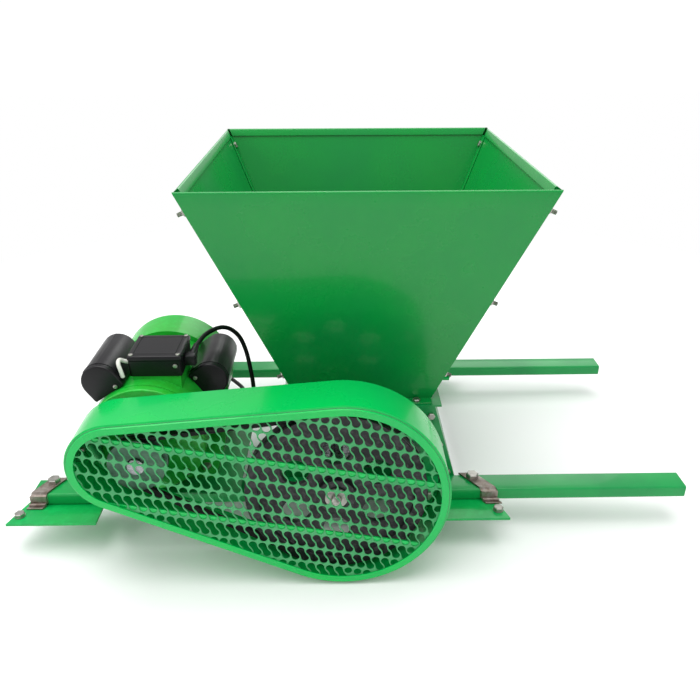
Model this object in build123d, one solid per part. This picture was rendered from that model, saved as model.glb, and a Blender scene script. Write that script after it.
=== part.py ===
"""Motor-driven grape crusher: a hopper over two fluted rollers, carried across a vat on two rails.

Millimetres. X runs along the rails, Y from the pulley guard to the gear side, Z up.
The origin is midway between the rails, 500 in from their free ends, in the plane of the feet's undersides.
A size that follows another is worked out from it, with the difference as a named value.
"""
import os
from math import acos, atan2, cos, degrees, hypot, pi, radians, sin, sqrt, tan

from build123d import *

# ---- frame
rail_right = 500.0
rail_length = 1020.0
rail_depth = 40.0
rail_height = 20.0
rail_wall = 2.0
rail_gap = 372.0
foot_thickness = 4.0
foot_right = 215.0
foot_overhang = 26.0
foot_width = 135.0
foot_slant = 30.0
foot_reach = 45.0
foot_tuck = 10.0
strap_width = 25.0
strap_thickness = 3.0
strap_toe = 8.0
strap_right = 148.0
strap_left_inset = 18.0
strap_skew_right = 29.0
strap_skew_left = -20.0
strap_bolt_inset = 10.0
strap_bolt_radius = 5.0
frame_bolt_radius = 4.0
panel_bolt_radius = 3.0
foot_bolt_inset = (15.0, 19.0)
washer_thickness = 1.5

# ---- crusher body
body_x = -4.0
body_top = 150.0
body_side_room = 20.0
body_spread = 42.0
body_bolt_inset = 50.0
body_sheet = 3.0
body_flange = 20.0
seam_inset = 7.0
top_plate_margin = 15.0
roller_gap = 2.0
roller_radius = 43.0
roller_z = 90.0
roller_end_gap = 11.0
flute_count = 8
flute_radius = 9.0
flute_setback = 3.0
shaft_radius = 10.0
housing_gap = 2.0
housing_flange = 12.0
housing_depth = 30.0
housing_nose = 6.0
housing_boss_inset = 9.0
insert_inset = 10.5
housing_bolt_inset = 11.0
gear_teeth = 22
gear_width = 24.0
gear_start = 36.0
shaft_end = 6.0
cover_margin = 4.0
cover_sheet = 2.0

# ---- hopper
hopper_height = 344.0
hopper_sheet = 2.0
hopper_top_half_x = 243.0
hopper_top_half_y = 250.0
hopper_base_inset_x = 5.0
hopper_base_inset_y = 20.0
hopper_flange = 20.0
hopper_hem = 12.0
hopper_foot = 16.0
hopper_low_bolt = 45.0
hopper_middle_bolt = 175.0
hopper_high_bolt = 29.0
hopper_foot_bolt_pitch = 80.0

# ---- belt drive
pulley_reach = 125.0
pulley_radius = 128.0
pulley_width = 22.0
pulley_hole_radius = 20.0
pulley_hole_circle = 66.0
pulley_hole_count = 6
motor_pulley_radius = 40.0
belt_top_width = 12.0
belt_depth = 8.0
belt_inset = 1.0
belt_clearance = 0.35
groove_angle = 19.0
groove_floor = 2.0
pulley_rim = 18.0
pulley_hub = 27.0
pulley_web_inset = 7.0

# ---- motor
motor_x = -319.0
motor_radius = 84.0
motor_wall = 6.0
motor_setback = 50.0
motor_shield = 15.0
motor_body_length = 162.0
motor_foot_clear = 6.5
motor_foot_thickness = 8.0
motor_foot_spread = 4.0
motor_foot_start = 36.0
motor_foot_pitch_x = 140.0
motor_foot_pitch_y = 108.0
cowl_step = 7.5
cowl_length = 67.0
cowl_lap = 12.0
cowl_sheet = 2.0
motor_shaft_radius = 12.0
fan_inset = 14.0
motor_bearing_radius = 20.0
core_inset = 38.0
rotor_radius = 47.5
stator_bore = 48.0
cross_tube_size = 25.0
cross_tube_wall = 2.0
cross_tube_offset = 35.0
base_plate_thickness = 3.0
box_span_x = (-21.0, 55.0)
box_span_y = (30.0, 103.0)
box_lift = 4.5
box_height = 32.0
box_wall = 2.5
lid_height = 6.0
capacitor_radius = 26.0
capacitor_length = 112.0
capacitor_seat = 21.0
capacitor_places = ((-34.0, 15.0), (54.0, 68.0))
lead_radius = 2.2

# ---- guard
guard_span = (-37.0, 40.0)
guard_small_shift = (-18.6, 10.2)
guard_small_room = 29.0
guard_large_shift = (9.5, 9.0)
guard_large_room = 19.5
guard_sheet = 2.0
guard_lip = 13.0
guard_bead = 5.0
grille_sheet = 1.5
grille_pitch = 13.5
grille_row = 25.6
grille_shift = 5.4
grille_edge = 1.0
lobe_radius = 5.6
lobe_step = (6.0, -14.0)
lobe_waist = 4.2
bar_width = 8.0
bar_thickness = 3.0
bar_ends = (((-16.4, 44.3), (139.5, 19.0)), ((-35.4, -55.7), (121.5, -84.0)))
bracket_back = 25.0
bracket_sheet = 3.0
bracket_gap = 0.7
bracket_half = 10.0
bracket_bolt_x = 92.0
bracket_foot_shift = (-73.0, 9.0)

# ---- cord
cord_radius = 3.5
coil_centre = (-319.0, 132.0)
coil_outer = 47.0
coil_inner = 26.0
coil_height = 16.0
plug_radius = 18.0
plug_length = 42.0
plug_shift = -25.0
pin_radius = 2.4
pin_length = 19.0
pin_pitch = 19.0
cord_route = [
    (-256.0, -184.0, 246.0),
    (-256.0, -154.0, 246.0),
    (-245.0, -124.0, 251.5),
    (-222.0, -101.0, 252.0),
    (-202.0, -92.0, 233.0),
    (-192.0, -91.0, 204.0),
    (-187.0, -93.0, 171.0),
    (-184.0, -91.0, 137.0),
    (-187.0, -83.0, 104.0),
    (-196.0, -63.0, 77.0),
    (-204.0, -32.0, 60.0),
    (-209.0, 8.0, 55.8),
    (-222.0, 48.0, 56.5),
    (-245.0, 82.0, 55.0),
    (-271.2, 118.4, 53.2),
]

# ---- fits
running = 0.05
clearance = 0.3

# ---- worked out
rail_z0 = foot_thickness
rail_z1 = rail_z0 + rail_height
rail_in = rail_gap / 2
rail_out = rail_in + rail_depth
rail_mid = rail_in + rail_depth / 2
rail_left = rail_right - rail_length
foot_left = rail_left - foot_overhang
strap_left = rail_left + strap_left_inset
rail_bolt_z = rail_z0 + rail_height / 2
roller_offset = roller_radius + roller_gap / 2
flute_centre = roller_radius + flute_setback
housing_side = 2 * roller_offset - housing_gap
housing_boss = housing_side / 2 - housing_boss_inset
insert_radius = housing_boss - insert_inset
housing_bolt_pitch = housing_side - 2 * housing_bolt_inset
gear_module = 2 * roller_offset / gear_teeth
body_half_top = 2 * roller_offset + body_side_room
body_half_bottom = body_half_top + body_spread
body_bolt_x = (body_x - body_half_bottom + body_bolt_inset, body_x + body_half_bottom - body_bolt_inset)
drive_x = body_x - roller_offset
driven_x = body_x + roller_offset
wall_in = rail_in - body_sheet
roller_half = wall_in - roller_end_gap
hopper_base_half_x = body_half_top - hopper_base_inset_x
hopper_base_half_y = rail_in - hopper_base_inset_y
hopper_z0 = body_top + body_sheet
hopper_z1 = hopper_z0 + hopper_height
hopper_bolt_heights = (hopper_low_bolt, hopper_middle_bolt, hopper_height - hopper_high_bolt)
hopper_lean_x = (hopper_top_half_x - hopper_base_half_x) / hopper_height
hopper_lean_y = (hopper_top_half_y - hopper_base_half_y) / hopper_height
hopper_skin_x = hopper_sheet * sqrt(1 + hopper_lean_x ** 2)
hopper_skin_y = hopper_sheet * sqrt(1 + hopper_lean_y ** 2)
gear_y0 = rail_in + gear_start
gear_y1 = gear_y0 + gear_width
pulley_y = -rail_in - pulley_reach
pulley_y0 = pulley_y - pulley_width / 2
pulley_y1 = pulley_y + pulley_width / 2
motor_front = pulley_y + motor_setback
motor_y1 = motor_front + motor_shield
motor_y2 = motor_y1 + motor_body_length
motor_y3 = motor_y2 + motor_shield
cowl_y0 = motor_y3 - cowl_lap
cowl_radius = motor_radius + cowl_step
fan_radius = motor_radius - fan_inset
motor_foot_half = motor_radius + motor_foot_spread
tube_z0 = rail_z1
tube_z1 = tube_z0 + cross_tube_size
base_top = tube_z1 + base_plate_thickness
motor_z = base_top + motor_radius + motor_foot_clear
motor_foot_y = (motor_y1 + motor_foot_start, motor_y1 + motor_foot_start + motor_foot_pitch_y)
cross_tube_x = (motor_x - cross_tube_offset, motor_x + cross_tube_offset)
box_x = (motor_x + box_span_x[0], motor_x + box_span_x[1])
box_y = (motor_front + box_span_y[0], motor_front + box_span_y[1])
box_z = (motor_z + motor_radius + box_lift, motor_z + motor_radius + box_lift + box_height)
guard_y = (pulley_y + guard_span[0], pulley_y + guard_span[1])
guard_small = (motor_x + guard_small_shift[0], motor_z + guard_small_shift[1],
               motor_pulley_radius + guard_small_room)
guard_large = (drive_x + guard_large_shift[0], roller_z + guard_large_shift[1],
               pulley_radius + guard_large_room)
bracket_y = guard_y[1] - bracket_back
bracket_z = guard_large[1]
bracket_foot = (motor_x + bracket_foot_shift[0], motor_front + bracket_foot_shift[1])
sides = (("front", -1), ("rear", 1))
parts = {}


# ---- helpers
def box(x, y, z):
    """A block between the low and high values of each axis."""
    centre = Pos(sum(x) / 2, sum(y) / 2, sum(z) / 2)
    return centre * Box(abs(x[1] - x[0]), abs(y[1] - y[0]), abs(z[1] - z[0]))


def rod(x, z, radius, y0, y1):
    """A cylinder along Y."""
    return Pos(x, (y0 + y1) / 2, z) * Rot(90, 0, 0) * Cylinder(radius, abs(y1 - y0))


def rod_x(y, z, radius, x0, x1):
    """A cylinder along X."""
    return Pos((x0 + x1) / 2, y, z) * Rot(0, 90, 0) * Cylinder(radius, abs(x1 - x0))


def rod_z(x, y, radius, z0, z1):
    """A cylinder along Z."""
    return Pos(x, y, (z0 + z1) / 2) * Cylinder(radius, abs(z1 - z0))


def collar(x, z, outer, inner, y0, y1):
    """A ring about an axis along Y."""
    return rod(x, z, outer, y0, y1) - rod(x, z, inner, y0 - 1, y1 + 1)


def prism(sketch, y0, y1):
    """A shape drawn in X and Z, taken from y0 to y1."""
    back = Plane(origin=(0, y1, 0), x_dir=(1, 0, 0), z_dir=(0, -1, 0))
    return extrude(back * sketch, amount=y1 - y0)


def slab(points, z0, z1):
    """A flat outline in X and Y, taken from z0 to z1."""
    outline = make_face(Polyline(*points, close=True))
    return extrude(Pos(0, 0, z0) * outline, amount=z1 - z0)


def slanted(low, high, z0, z1):
    """A block whose rectangle (x0, x1, y0, y1) changes steadily from z0 to z1."""
    faces = []
    for (x0, x1, y0, y1), z in ((low, z0), (high, z1)):
        centre = Pos((x0 + x1) / 2, (y0 + y1) / 2, z)
        faces.append(centre * Rectangle(x1 - x0, y1 - y0))
    return loft(faces, ruled=True)


def bolt(at, axis, radius, length, head=None):
    """A hexagon-head bolt: its shank runs from its head against the axis."""
    across = 1.7 * 2 * radius
    hexagon = RegularPolygon(across / 2, 6, major_radius=False)
    top = extrude(hexagon, amount=head or 1.3 * radius)
    shank = Pos(0, 0, -length / 2) * Cylinder(radius, length)
    return Plane(origin=at, z_dir=axis).location * (top + shank)


def ring(at, axis, outer, inner, thickness, sides_count=0):
    """A washer, or a nut when it has sides."""
    outline = RegularPolygon(outer, sides_count, major_radius=False) if sides_count else Circle(outer)
    return Plane(origin=at, z_dir=axis).location * extrude(outline - Circle(inner), amount=thickness)


def outline(small, large, inset=0.0):
    """The loop round two circles (x, z, radius), brought in by an inset."""
    (x1, z1, r1), (x2, z2, r2) = small, large
    r1 -= inset
    r2 -= inset
    along = atan2(z2 - z1, x2 - x1)
    spread = acos((r1 - r2) / hypot(x2 - x1, z2 - z1))

    def point(x, z, radius, angle):
        return (x + radius * cos(angle), z + radius * sin(angle))

    top, bottom = along + spread, along - spread
    edges = [
        Line(point(x1, z1, r1, top), point(x2, z2, r2, top)),
        ThreePointArc(point(x2, z2, r2, top), point(x2, z2, r2, along), point(x2, z2, r2, bottom)),
        Line(point(x2, z2, r2, bottom), point(x1, z1, r1, bottom)),
        ThreePointArc(point(x1, z1, r1, bottom), point(x1, z1, r1, along + pi), point(x1, z1, r1, top)),
    ]
    return edges


def loop(small, large, inset=0.0):
    """The filled loop round two circles."""
    return make_face(outline(small, large, inset))


def body_half(z):
    """Half the body's width at a height."""
    share = (body_top - z) / (body_top - rail_z0)
    return body_half_top + share * (body_half_bottom - body_half_top)


def hopper_half(z):
    """Half the hopper's outer width and depth at a height."""
    share = (z - hopper_z0) / hopper_height
    half_x = hopper_base_half_x + share * (hopper_top_half_x - hopper_base_half_x)
    half_y = hopper_base_half_y + share * (hopper_top_half_y - hopper_base_half_y)
    return half_x, half_y


# ---- frame
def make_rails():
    for name, side in sides:
        y = sorted((side * rail_in, side * rail_out))
        x = (rail_left, rail_right)
        tube = box(x, y, (rail_z0, rail_z1))
        hollow = (y[0] + rail_wall, y[1] - rail_wall)
        tube -= box((x[0] - 1, x[1] + 1), hollow, (rail_z0 + rail_wall, rail_z1 - rail_wall))
        for bolt_x, bolt_y in strap_bolt_points(side):
            tube -= rod_z(bolt_x, bolt_y, strap_bolt_radius + running, rail_z0 - 1, rail_z1 + 1)
        for bolt_x in body_bolt_x:
            tube -= rod(bolt_x, rail_bolt_z, frame_bolt_radius + running, y[0] - 1, y[1] + 1)
        for bolt_x in cross_tube_x:
            tube -= rod_z(bolt_x, side * rail_mid, frame_bolt_radius + running, rail_z0 - 1, rail_z1 + 1)
        parts[f"rail_{name}"] = tube


def strap_corners():
    """Rear edge, skew and foot outer corner of the straps at each end."""
    return (("left", strap_left, strap_skew_left, foot_left, -1),
            ("right", strap_right, strap_skew_right, foot_right, 1))


def strap_bolt_points(side):
    """Centres of the two strap bolts over one rail."""
    share = strap_bolt_inset / rail_depth
    return [
        (x + skew * share + strap_width / 2, side * (rail_in + strap_bolt_inset))
        for _, x, skew, _, _ in strap_corners()
    ]


def foot_bolt_point(corner, end, side):
    """Centre of a foot's corner bolt."""
    return (corner - end * foot_bolt_inset[0], side * (rail_out + foot_reach - foot_bolt_inset[1]))


def make_feet():
    for name, side in sides:
        strap_bolts = strap_bolt_points(side)
        for number, (end_name, x, skew, corner, end) in enumerate(strap_corners()):
            front = side * (rail_out + foot_reach)
            back = side * (rail_in - foot_tuck)
            inner = corner - end * foot_width
            plate = slab([(inner, back), (inner, front), (corner, front), (corner - end * foot_slant, back)],
                         0, foot_thickness)
            plate -= rod_z(*strap_bolts[number], strap_bolt_radius + running, -1, foot_thickness + 1)
            plate -= rod_z(*foot_bolt_point(corner, end, side), frame_bolt_radius + running, -1, 9)
            parts[f"foot_{name}_{end_name}"] = plate


def make_straps():
    straps = []
    bolts = []
    foot_bolts = []
    for _, side in sides:
        for number, (_, x, skew, corner, end) in enumerate(strap_corners()):
            lip = rail_out + strap_thickness
            top = [(x, side * rail_in), (x + strap_width, side * rail_in),
                   (x + skew + strap_width, side * lip), (x + skew, side * lip)]
            strap = slab(top, rail_z1, rail_z1 + strap_thickness)
            face = sorted((side * rail_out, side * lip))
            strap += box((x + skew, x + skew + strap_width), face, (rail_z0, rail_z1 + strap_thickness))
            toe_x = x + skew * 1.3
            toe_y = side * (lip + strap_toe)
            toe = [(x + skew, side * rail_out), (x + skew + strap_width, side * rail_out),
                   (toe_x + strap_width, toe_y), (toe_x, toe_y)]
            strap += slab(toe, rail_z0, rail_z0 + strap_thickness)
            point = strap_bolt_points(side)[number]
            strap -= rod_z(*point, strap_bolt_radius + running, rail_z1 - 1, rail_z1 + strap_thickness + 1)
            straps.append(strap)
            top_z = rail_z1 + strap_thickness
            bolts.append(bolt((*point, top_z), (0, 0, 1), strap_bolt_radius, top_z))
            foot_point = foot_bolt_point(corner, end, side)
            washer_top = foot_thickness + washer_thickness
            washer = ring((*foot_point, foot_thickness), (0, 0, 1), 2 * frame_bolt_radius,
                          frame_bolt_radius + running, washer_thickness)
            foot_bolts.append(washer)
            foot_bolts.append(bolt((*foot_point, washer_top), (0, 0, 1), frame_bolt_radius, washer_top))
    parts["clamp_straps"] = straps
    parts["strap_bolts"] = bolts
    parts["foot_bolts"] = foot_bolts


# ---- crusher body
def housing_bolts_at(x):
    """Centres of the four bolts of a bearing housing."""
    half = housing_bolt_pitch / 2
    return [(x + dx, roller_z + dz) for dx in (-half, half) for dz in (-half, half)]


def seam_heights():
    return (30.0, 82.0, 134.0)


def seam_x(z, end):
    """Where a body corner bolt sits at a height."""
    return body_x + end * (body_half(z) - body_sheet - seam_inset)


def make_body():
    for name, side in sides:
        y = sorted((side * rail_in, side * wall_in))
        low = (body_x - body_half_bottom, body_x + body_half_bottom, *y)
        high = (body_x - body_half_top, body_x + body_half_top, *y)
        panel = slanted(low, high, rail_z0, body_top)
        for x in (drive_x, driven_x):
            panel -= rod(x, roller_z, shaft_radius + 4, y[0] - 1, y[1] + 1)
            for bolt_x, bolt_z in housing_bolts_at(x):
                panel -= rod(bolt_x, bolt_z, frame_bolt_radius + running, y[0] - 1, y[1] + 1)
        for bolt_x in body_bolt_x:
            panel -= rod(bolt_x, rail_bolt_z, frame_bolt_radius + running, y[0] - 1, y[1] + 1)
        for z in seam_heights():
            for end in (-1, 1):
                panel -= rod(seam_x(z, end), z, panel_bolt_radius + running, y[0] - 1, y[1] + 1)
        if side > 0:
            for x in cover_screw_x():
                panel -= rod(x, roller_z, panel_bolt_radius + running, y[0] - 1, y[1] + 1)
        else:
            panel -= rod(bracket_bolt_x, bracket_z, panel_bolt_radius + running, y[0] - 1, y[1] + 1)
        parts[f"body_{name}_panel"] = panel
    for name, end in (("left", -1), ("right", 1)):
        def span(z, near, far):
            half = body_half(z)
            return sorted((body_x + end * (half - near), body_x + end * (half - far)))
        skin = slanted((*span(rail_z0, 0, body_sheet), -wall_in, wall_in),
                       (*span(body_top, 0, body_sheet), -wall_in, wall_in), rail_z0, body_top)
        reach = body_sheet + body_flange
        for side in (-1, 1):
            y = sorted((side * wall_in, side * (wall_in - body_sheet)))
            low, high = (*span(rail_z0, 1, reach), *y), (*span(body_top, 1, reach), *y)
            skin += slanted(low, high, rail_z0, body_top)
        for z in seam_heights():
            skin -= rod(seam_x(z, end), z, panel_bolt_radius + running, -rail_in, rail_in)
        parts[f"body_{name}_panel"] = skin


def hopper_foot_bolts():
    """Centres of the bolts through the hopper's feet."""
    y = hopper_base_half_y + hopper_foot / 2 + 1
    pitch = hopper_foot_bolt_pitch
    return [(body_x + dx, side * y) for side in (-1, 1) for dx in (-pitch, 0.0, pitch)]


def make_top_plate():
    half_x = hopper_base_half_x + top_plate_margin
    x = (body_x - half_x, body_x + half_x)
    plate = box(x, (-rail_in, rail_in), (body_top, hopper_z0))
    mouth_x = hopper_base_half_x - 3 * hopper_sheet
    mouth_y = hopper_base_half_y - 3 * hopper_sheet
    plate -= box((body_x - mouth_x, body_x + mouth_x), (-mouth_y, mouth_y), (body_top - 1, hopper_z0 + 1))
    for point in hopper_foot_bolts():
        plate -= rod_z(*point, panel_bolt_radius + running, body_top - 1, hopper_z0 + 1)
    parts["body_top_plate"] = plate


def make_body_bolts():
    bolts = []
    for side in (-1, 1):
        for z in seam_heights():
            for end in (-1, 1):
                x = seam_x(z, end)
                bolts.append(bolt((x, side * rail_in, z), (0, side, 0), panel_bolt_radius, 13.0))
                nut_y = side * (wall_in - body_sheet)
                bolts.append(ring((x, nut_y, z), (0, -side, 0), 5.0, panel_bolt_radius + running, 4.5, 6))
        for x in body_bolt_x:
            bolts.append(bolt((x, side * rail_out, rail_bolt_z), (0, side, 0), frame_bolt_radius, 52.0))
            nut_at = (x, side * wall_in, rail_bolt_z)
            bolts.append(ring(nut_at, (0, -side, 0), 6.5, frame_bolt_radius + running, 6.5, 6))
        for x in cross_tube_x:
            head_z = tube_z0 + cross_tube_wall
            bolts.append(bolt((x, side * rail_mid, head_z), (0, 0, 1), frame_bolt_radius, head_z - rail_z0))
    parts["frame_bolts"] = bolts


# ---- rollers, shafts and bearings
def make_rollers():
    for name, x in (("drive", drive_x), ("driven", driven_x)):
        roller = rod(x, roller_z, roller_radius, -roller_half, roller_half)
        for number in range(flute_count):
            angle = 2 * pi * (number + 0.5) / flute_count
            fx = x + flute_centre * cos(angle)
            fz = roller_z + flute_centre * sin(angle)
            roller -= rod(fx, fz, flute_radius, -roller_half - 1, roller_half + 1)
        roller -= rod(x, roller_z, shaft_radius + running, -roller_half - 1, roller_half + 1)
        parts[f"{name}_roller"] = roller
    tip = pulley_y0 - 6.0
    drive = rod(drive_x, roller_z, shaft_radius, tip, gear_y1 + shaft_end)
    drive -= rod(drive_x, roller_z, frame_bolt_radius + running, tip - 1, tip + 26.0)
    parts["drive_shaft"] = drive
    nose = -rail_in - housing_depth - housing_nose
    parts["driven_shaft"] = rod(driven_x, roller_z, shaft_radius, nose, gear_y1 + shaft_end)


def make_bearings():
    housings = []
    inserts = []
    bolts = []
    for side in (-1, 1):
        wall = side * rail_in
        flange = sorted((wall, wall + side * housing_flange))
        nose = sorted((wall, wall + side * housing_depth))
        for x in (drive_x, driven_x):
            half = housing_side / 2
            body = box((x - half, x + half), flange, (roller_z - half, roller_z + half))
            body += rod(x, roller_z, housing_boss, *nose)
            body -= rod(x, roller_z, insert_radius + running, nose[0] - 1, nose[1] + 1)
            for bolt_x, bolt_z in housing_bolts_at(x):
                body -= rod(bolt_x, bolt_z, frame_bolt_radius + running, nose[0] - 1, nose[1] + 1)
                bolts.append(bolt((bolt_x, wall + side * housing_flange, bolt_z), (0, side, 0),
                                  frame_bolt_radius, housing_flange + 9.0))
                bolts.append(ring((bolt_x, side * wall_in, bolt_z), (0, -side, 0), 6.5,
                                  frame_bolt_radius + running, 6.0, 6))
            housings.append(body)
            insert = collar(x, roller_z, insert_radius, shaft_radius + running, nose[0] + 4, nose[1] - 4)
            inserts.append(insert)
    parts["bearing_housings"] = housings
    parts["bearing_inserts"] = inserts
    parts["bearing_bolts"] = bolts


def gear_outline(turn):
    """The tooth outline of a spur gear, turned by a share of one pitch."""
    pitch = gear_module * gear_teeth / 2
    profile = ((pitch - 1.25 * gear_module, 0.34), (pitch - 0.2 * gear_module, 0.245),
               (pitch + 0.45 * gear_module, 0.185), (pitch + 0.92 * gear_module, 0.12))
    points = []
    for tooth in range(gear_teeth):
        middle = tooth + turn
        flank = [(radius, middle - half) for radius, half in profile]
        flank += [(radius, middle + half) for radius, half in reversed(profile)]
        for radius, place in flank:
            angle = 2 * pi * place / gear_teeth
            points.append((radius * cos(angle), radius * sin(angle)))
    return make_face(Polyline(*points, close=True))


def make_gears():
    for name, x, turn in (("drive", drive_x, 0.0), ("driven", driven_x, 0.5)):
        blank = prism(Pos(x, roller_z) * gear_outline(turn), gear_y0, gear_y1)
        parts[f"{name}_gear"] = blank - rod(x, roller_z, shaft_radius + running, gear_y0 - 1, gear_y1 + 1)


def cover_span():
    """Half the gear cover's width and height."""
    reach = gear_module * (gear_teeth / 2 + 1) + cover_margin
    return roller_offset + reach, reach


def cover_screw_x():
    half = cover_span()[0]
    return (body_x - half - 6.0, body_x + half + 6.0)


def make_gear_cover():
    half_x, half_z = cover_span()
    outer_y = gear_y1 + shaft_end + cover_margin
    x = (body_x - half_x, body_x + half_x)
    z = (roller_z - half_z, roller_z + half_z)
    cover = box(x, (rail_in, outer_y), z)
    cover -= box((x[0] + cover_sheet, x[1] - cover_sheet), (rail_in - 1, outer_y - cover_sheet),
                 (z[0] + cover_sheet, z[1] - cover_sheet))
    tab_z = (roller_z - 12.0, roller_z + 12.0)
    cover += box((x[0] - 12.0, x[0] + 1), (rail_in, rail_in + cover_sheet), tab_z)
    cover += box((x[1] - 1, x[1] + 12.0), (rail_in, rail_in + cover_sheet), tab_z)
    screws = []
    for screw_x in cover_screw_x():
        cover -= rod(screw_x, roller_z, panel_bolt_radius + running, rail_in - 1, rail_in + 9)
        screws.append(bolt((screw_x, rail_in + cover_sheet, roller_z), (0, 1, 0), panel_bolt_radius, 5.0))
    parts["gear_cover"] = cover
    parts["gear_cover_screws"] = screws


# ---- hopper
def hopper_rect(z, x_in, y_in):
    """Spans of the hopper's wall planes, brought in by sheet thicknesses."""
    half_x, half_y = hopper_half(z)
    return half_x - x_in * hopper_skin_x, half_y - y_in * hopper_skin_y



def hopper_side_points(side, end):
    """Bolt centres and outward axis on one corner of a hopper side panel."""
    points = []
    slope = sqrt(1 + hopper_lean_x ** 2)
    axis = (end / slope, 0, -hopper_lean_x / slope)
    for height in hopper_bolt_heights:
        z = hopper_z0 + height
        half_x, half_y = hopper_half(z)
        y = side * (half_y - hopper_skin_y - hopper_flange / 2)
        points.append(((body_x + end * half_x, y, z), axis))
    return points


def hopper_holes():
    holes = []
    for side in (-1, 1):
        for end in (-1, 1):
            for at, axis in hopper_side_points(side, end):
                hole = Plane(origin=at, z_dir=axis).location * Cylinder(panel_bolt_radius + running, 30)
                holes.append(hole)
    return holes


def make_hopper_cross_panels(holes):
    """Front and rear panels with their corner flanges, rim hem and foot."""
    for name, side in sides:
        def wall(z):
            x, y = hopper_rect(z, 0, 0)
            return (body_x - x, body_x + x, *sorted((side * y, side * (y - hopper_skin_y))))

        def hem(z):
            x, y = hopper_rect(z, 2, 1)
            span = sorted((side * (y + 0.5), side * (y - hopper_skin_y)))
            return (body_x - x + 0.2, body_x + x - 0.2, *span)

        panel = slanted(wall(hopper_z0), wall(hopper_z1), hopper_z0, hopper_z1)
        hem_z = hopper_z1 - hopper_hem
        panel += slanted(hem(hem_z), hem(hopper_z1), hem_z, hopper_z1)
        for end in (-1, 1):
            def flange(z):
                x, y = hopper_rect(z, 1, 1)
                x_span = sorted((body_x + end * x, body_x + end * (x - hopper_skin_x)))
                y_span = sorted((side * (y + 0.5), side * (y - hopper_flange)))
                return (*x_span, *y_span)
            panel += slanted(flange(hopper_z0), flange(hopper_z1), hopper_z0, hopper_z1)
        foot_y = sorted((side * (hopper_base_half_y - 1), side * (hopper_base_half_y + hopper_foot)))
        panel += box((body_x - hopper_base_half_x, body_x + hopper_base_half_x), foot_y,
                     (hopper_z0, hopper_z0 + hopper_sheet))
        for hole in holes:
            panel -= hole
        for point in hopper_foot_bolts():
            panel -= rod_z(*point, panel_bolt_radius + running, hopper_z0 - 1, hopper_z0 + hopper_sheet + 1)
        parts[f"hopper_{name}_panel"] = panel


def make_hopper_side_panels(holes):
    """Left and right panels, which lie between the other two."""
    for name, end in (("left", -1), ("right", 1)):
        def wall(z):
            x, y = hopper_rect(z, 0, 1)
            return (*sorted((body_x + end * x, body_x + end * (x - hopper_skin_x))), -y, y)

        def hem(z):
            x, y = hopper_rect(z, 1, 1)
            y -= hopper_flange + clearance
            span = sorted((body_x + end * (x + 0.5), body_x + end * (x - hopper_skin_x)))
            return (*span, -y, y)

        panel = slanted(wall(hopper_z0), wall(hopper_z1), hopper_z0, hopper_z1)
        hem_z = hopper_z1 - hopper_hem
        panel += slanted(hem(hem_z), hem(hopper_z1), hem_z, hopper_z1)
        for hole in holes:
            panel -= hole
        parts[f"hopper_{name}_panel"] = panel


def make_hopper_bolts():
    bolts = []
    for side in (-1, 1):
        for end in (-1, 1):
            for at, axis in hopper_side_points(side, end):
                out = Vector(*axis)
                head = Vector(*at) - out * (2 * hopper_sheet)
                bolts.append(bolt(tuple(head), tuple(-out), panel_bolt_radius, 16.0, 3.5))
                bolts.append(ring(at, axis, 5.0, panel_bolt_radius + running, 4.5, 6))
    for x, y in hopper_foot_bolts():
        top_z = hopper_z0 + hopper_sheet
        bolts.append(bolt((x, y, top_z), (0, 0, 1), panel_bolt_radius, hopper_sheet + body_sheet, 4.0))
    parts["hopper_bolts"] = bolts


# ---- belt drive
def groove(x, z, rim, y):
    """The cut that leaves a V-groove round a pulley."""
    top = belt_top_width / 2 + belt_clearance + 0.35
    depth = belt_depth + belt_inset + groove_floor
    foot = top - depth * tan(radians(groove_angle))
    corners = [(rim - depth, -foot), (rim + 1, -top), (rim + 1, top), (rim - depth, foot)]
    profile = make_face(Polyline(*corners, close=True))
    section = Plane(origin=(x, y, z), x_dir=(1, 0, 0), z_dir=(0, 0, 1)).location * profile
    return revolve(section, Axis((x, y, z), (0, 1, 0)), 360)


def make_pulleys():
    x, z = drive_x, roller_z
    wheel = rod(x, z, pulley_radius, pulley_y0, pulley_y1)
    web = (pulley_y0 + pulley_web_inset, pulley_y1 - pulley_web_inset)
    for face, back in ((pulley_y0 - 1, web[0]), (web[1], pulley_y1 + 1)):
        wheel -= collar(x, z, pulley_radius - pulley_rim, pulley_hub, face, back)
    wheel += rod(x, z, pulley_hub, pulley_y0 - 4.0, pulley_y1 + 6.0)
    for number in range(pulley_hole_count):
        angle = 2 * pi * number / pulley_hole_count + pi / 6
        wheel -= rod(x + pulley_hole_circle * cos(angle), z + pulley_hole_circle * sin(angle),
                     pulley_hole_radius, pulley_y0, pulley_y1)
    wheel -= groove(x, z, pulley_radius, pulley_y)
    wheel -= rod(x, z, shaft_radius + running, pulley_y0 - 9, pulley_y1 + 9)
    parts["drive_pulley"] = wheel
    end_y = pulley_y0 - 6.0
    washer = ring((x, end_y, z), (0, -1, 0), 16.0, frame_bolt_radius + running, 2.5)
    parts["pulley_retainer"] = [washer, bolt((x, end_y - 2.5, z), (0, -1, 0), frame_bolt_radius, 22.0)]
    small = rod(motor_x, motor_z, motor_pulley_radius, pulley_y0, pulley_y1)
    small += rod(motor_x, motor_z, 26.0, pulley_y1 - 1, pulley_y1 + 14.0)
    small -= groove(motor_x, motor_z, motor_pulley_radius, pulley_y)
    small -= rod(motor_x, motor_z, motor_shaft_radius + running, pulley_y0 - 9, pulley_y1 + 20)
    parts["motor_pulley"] = small


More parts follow.
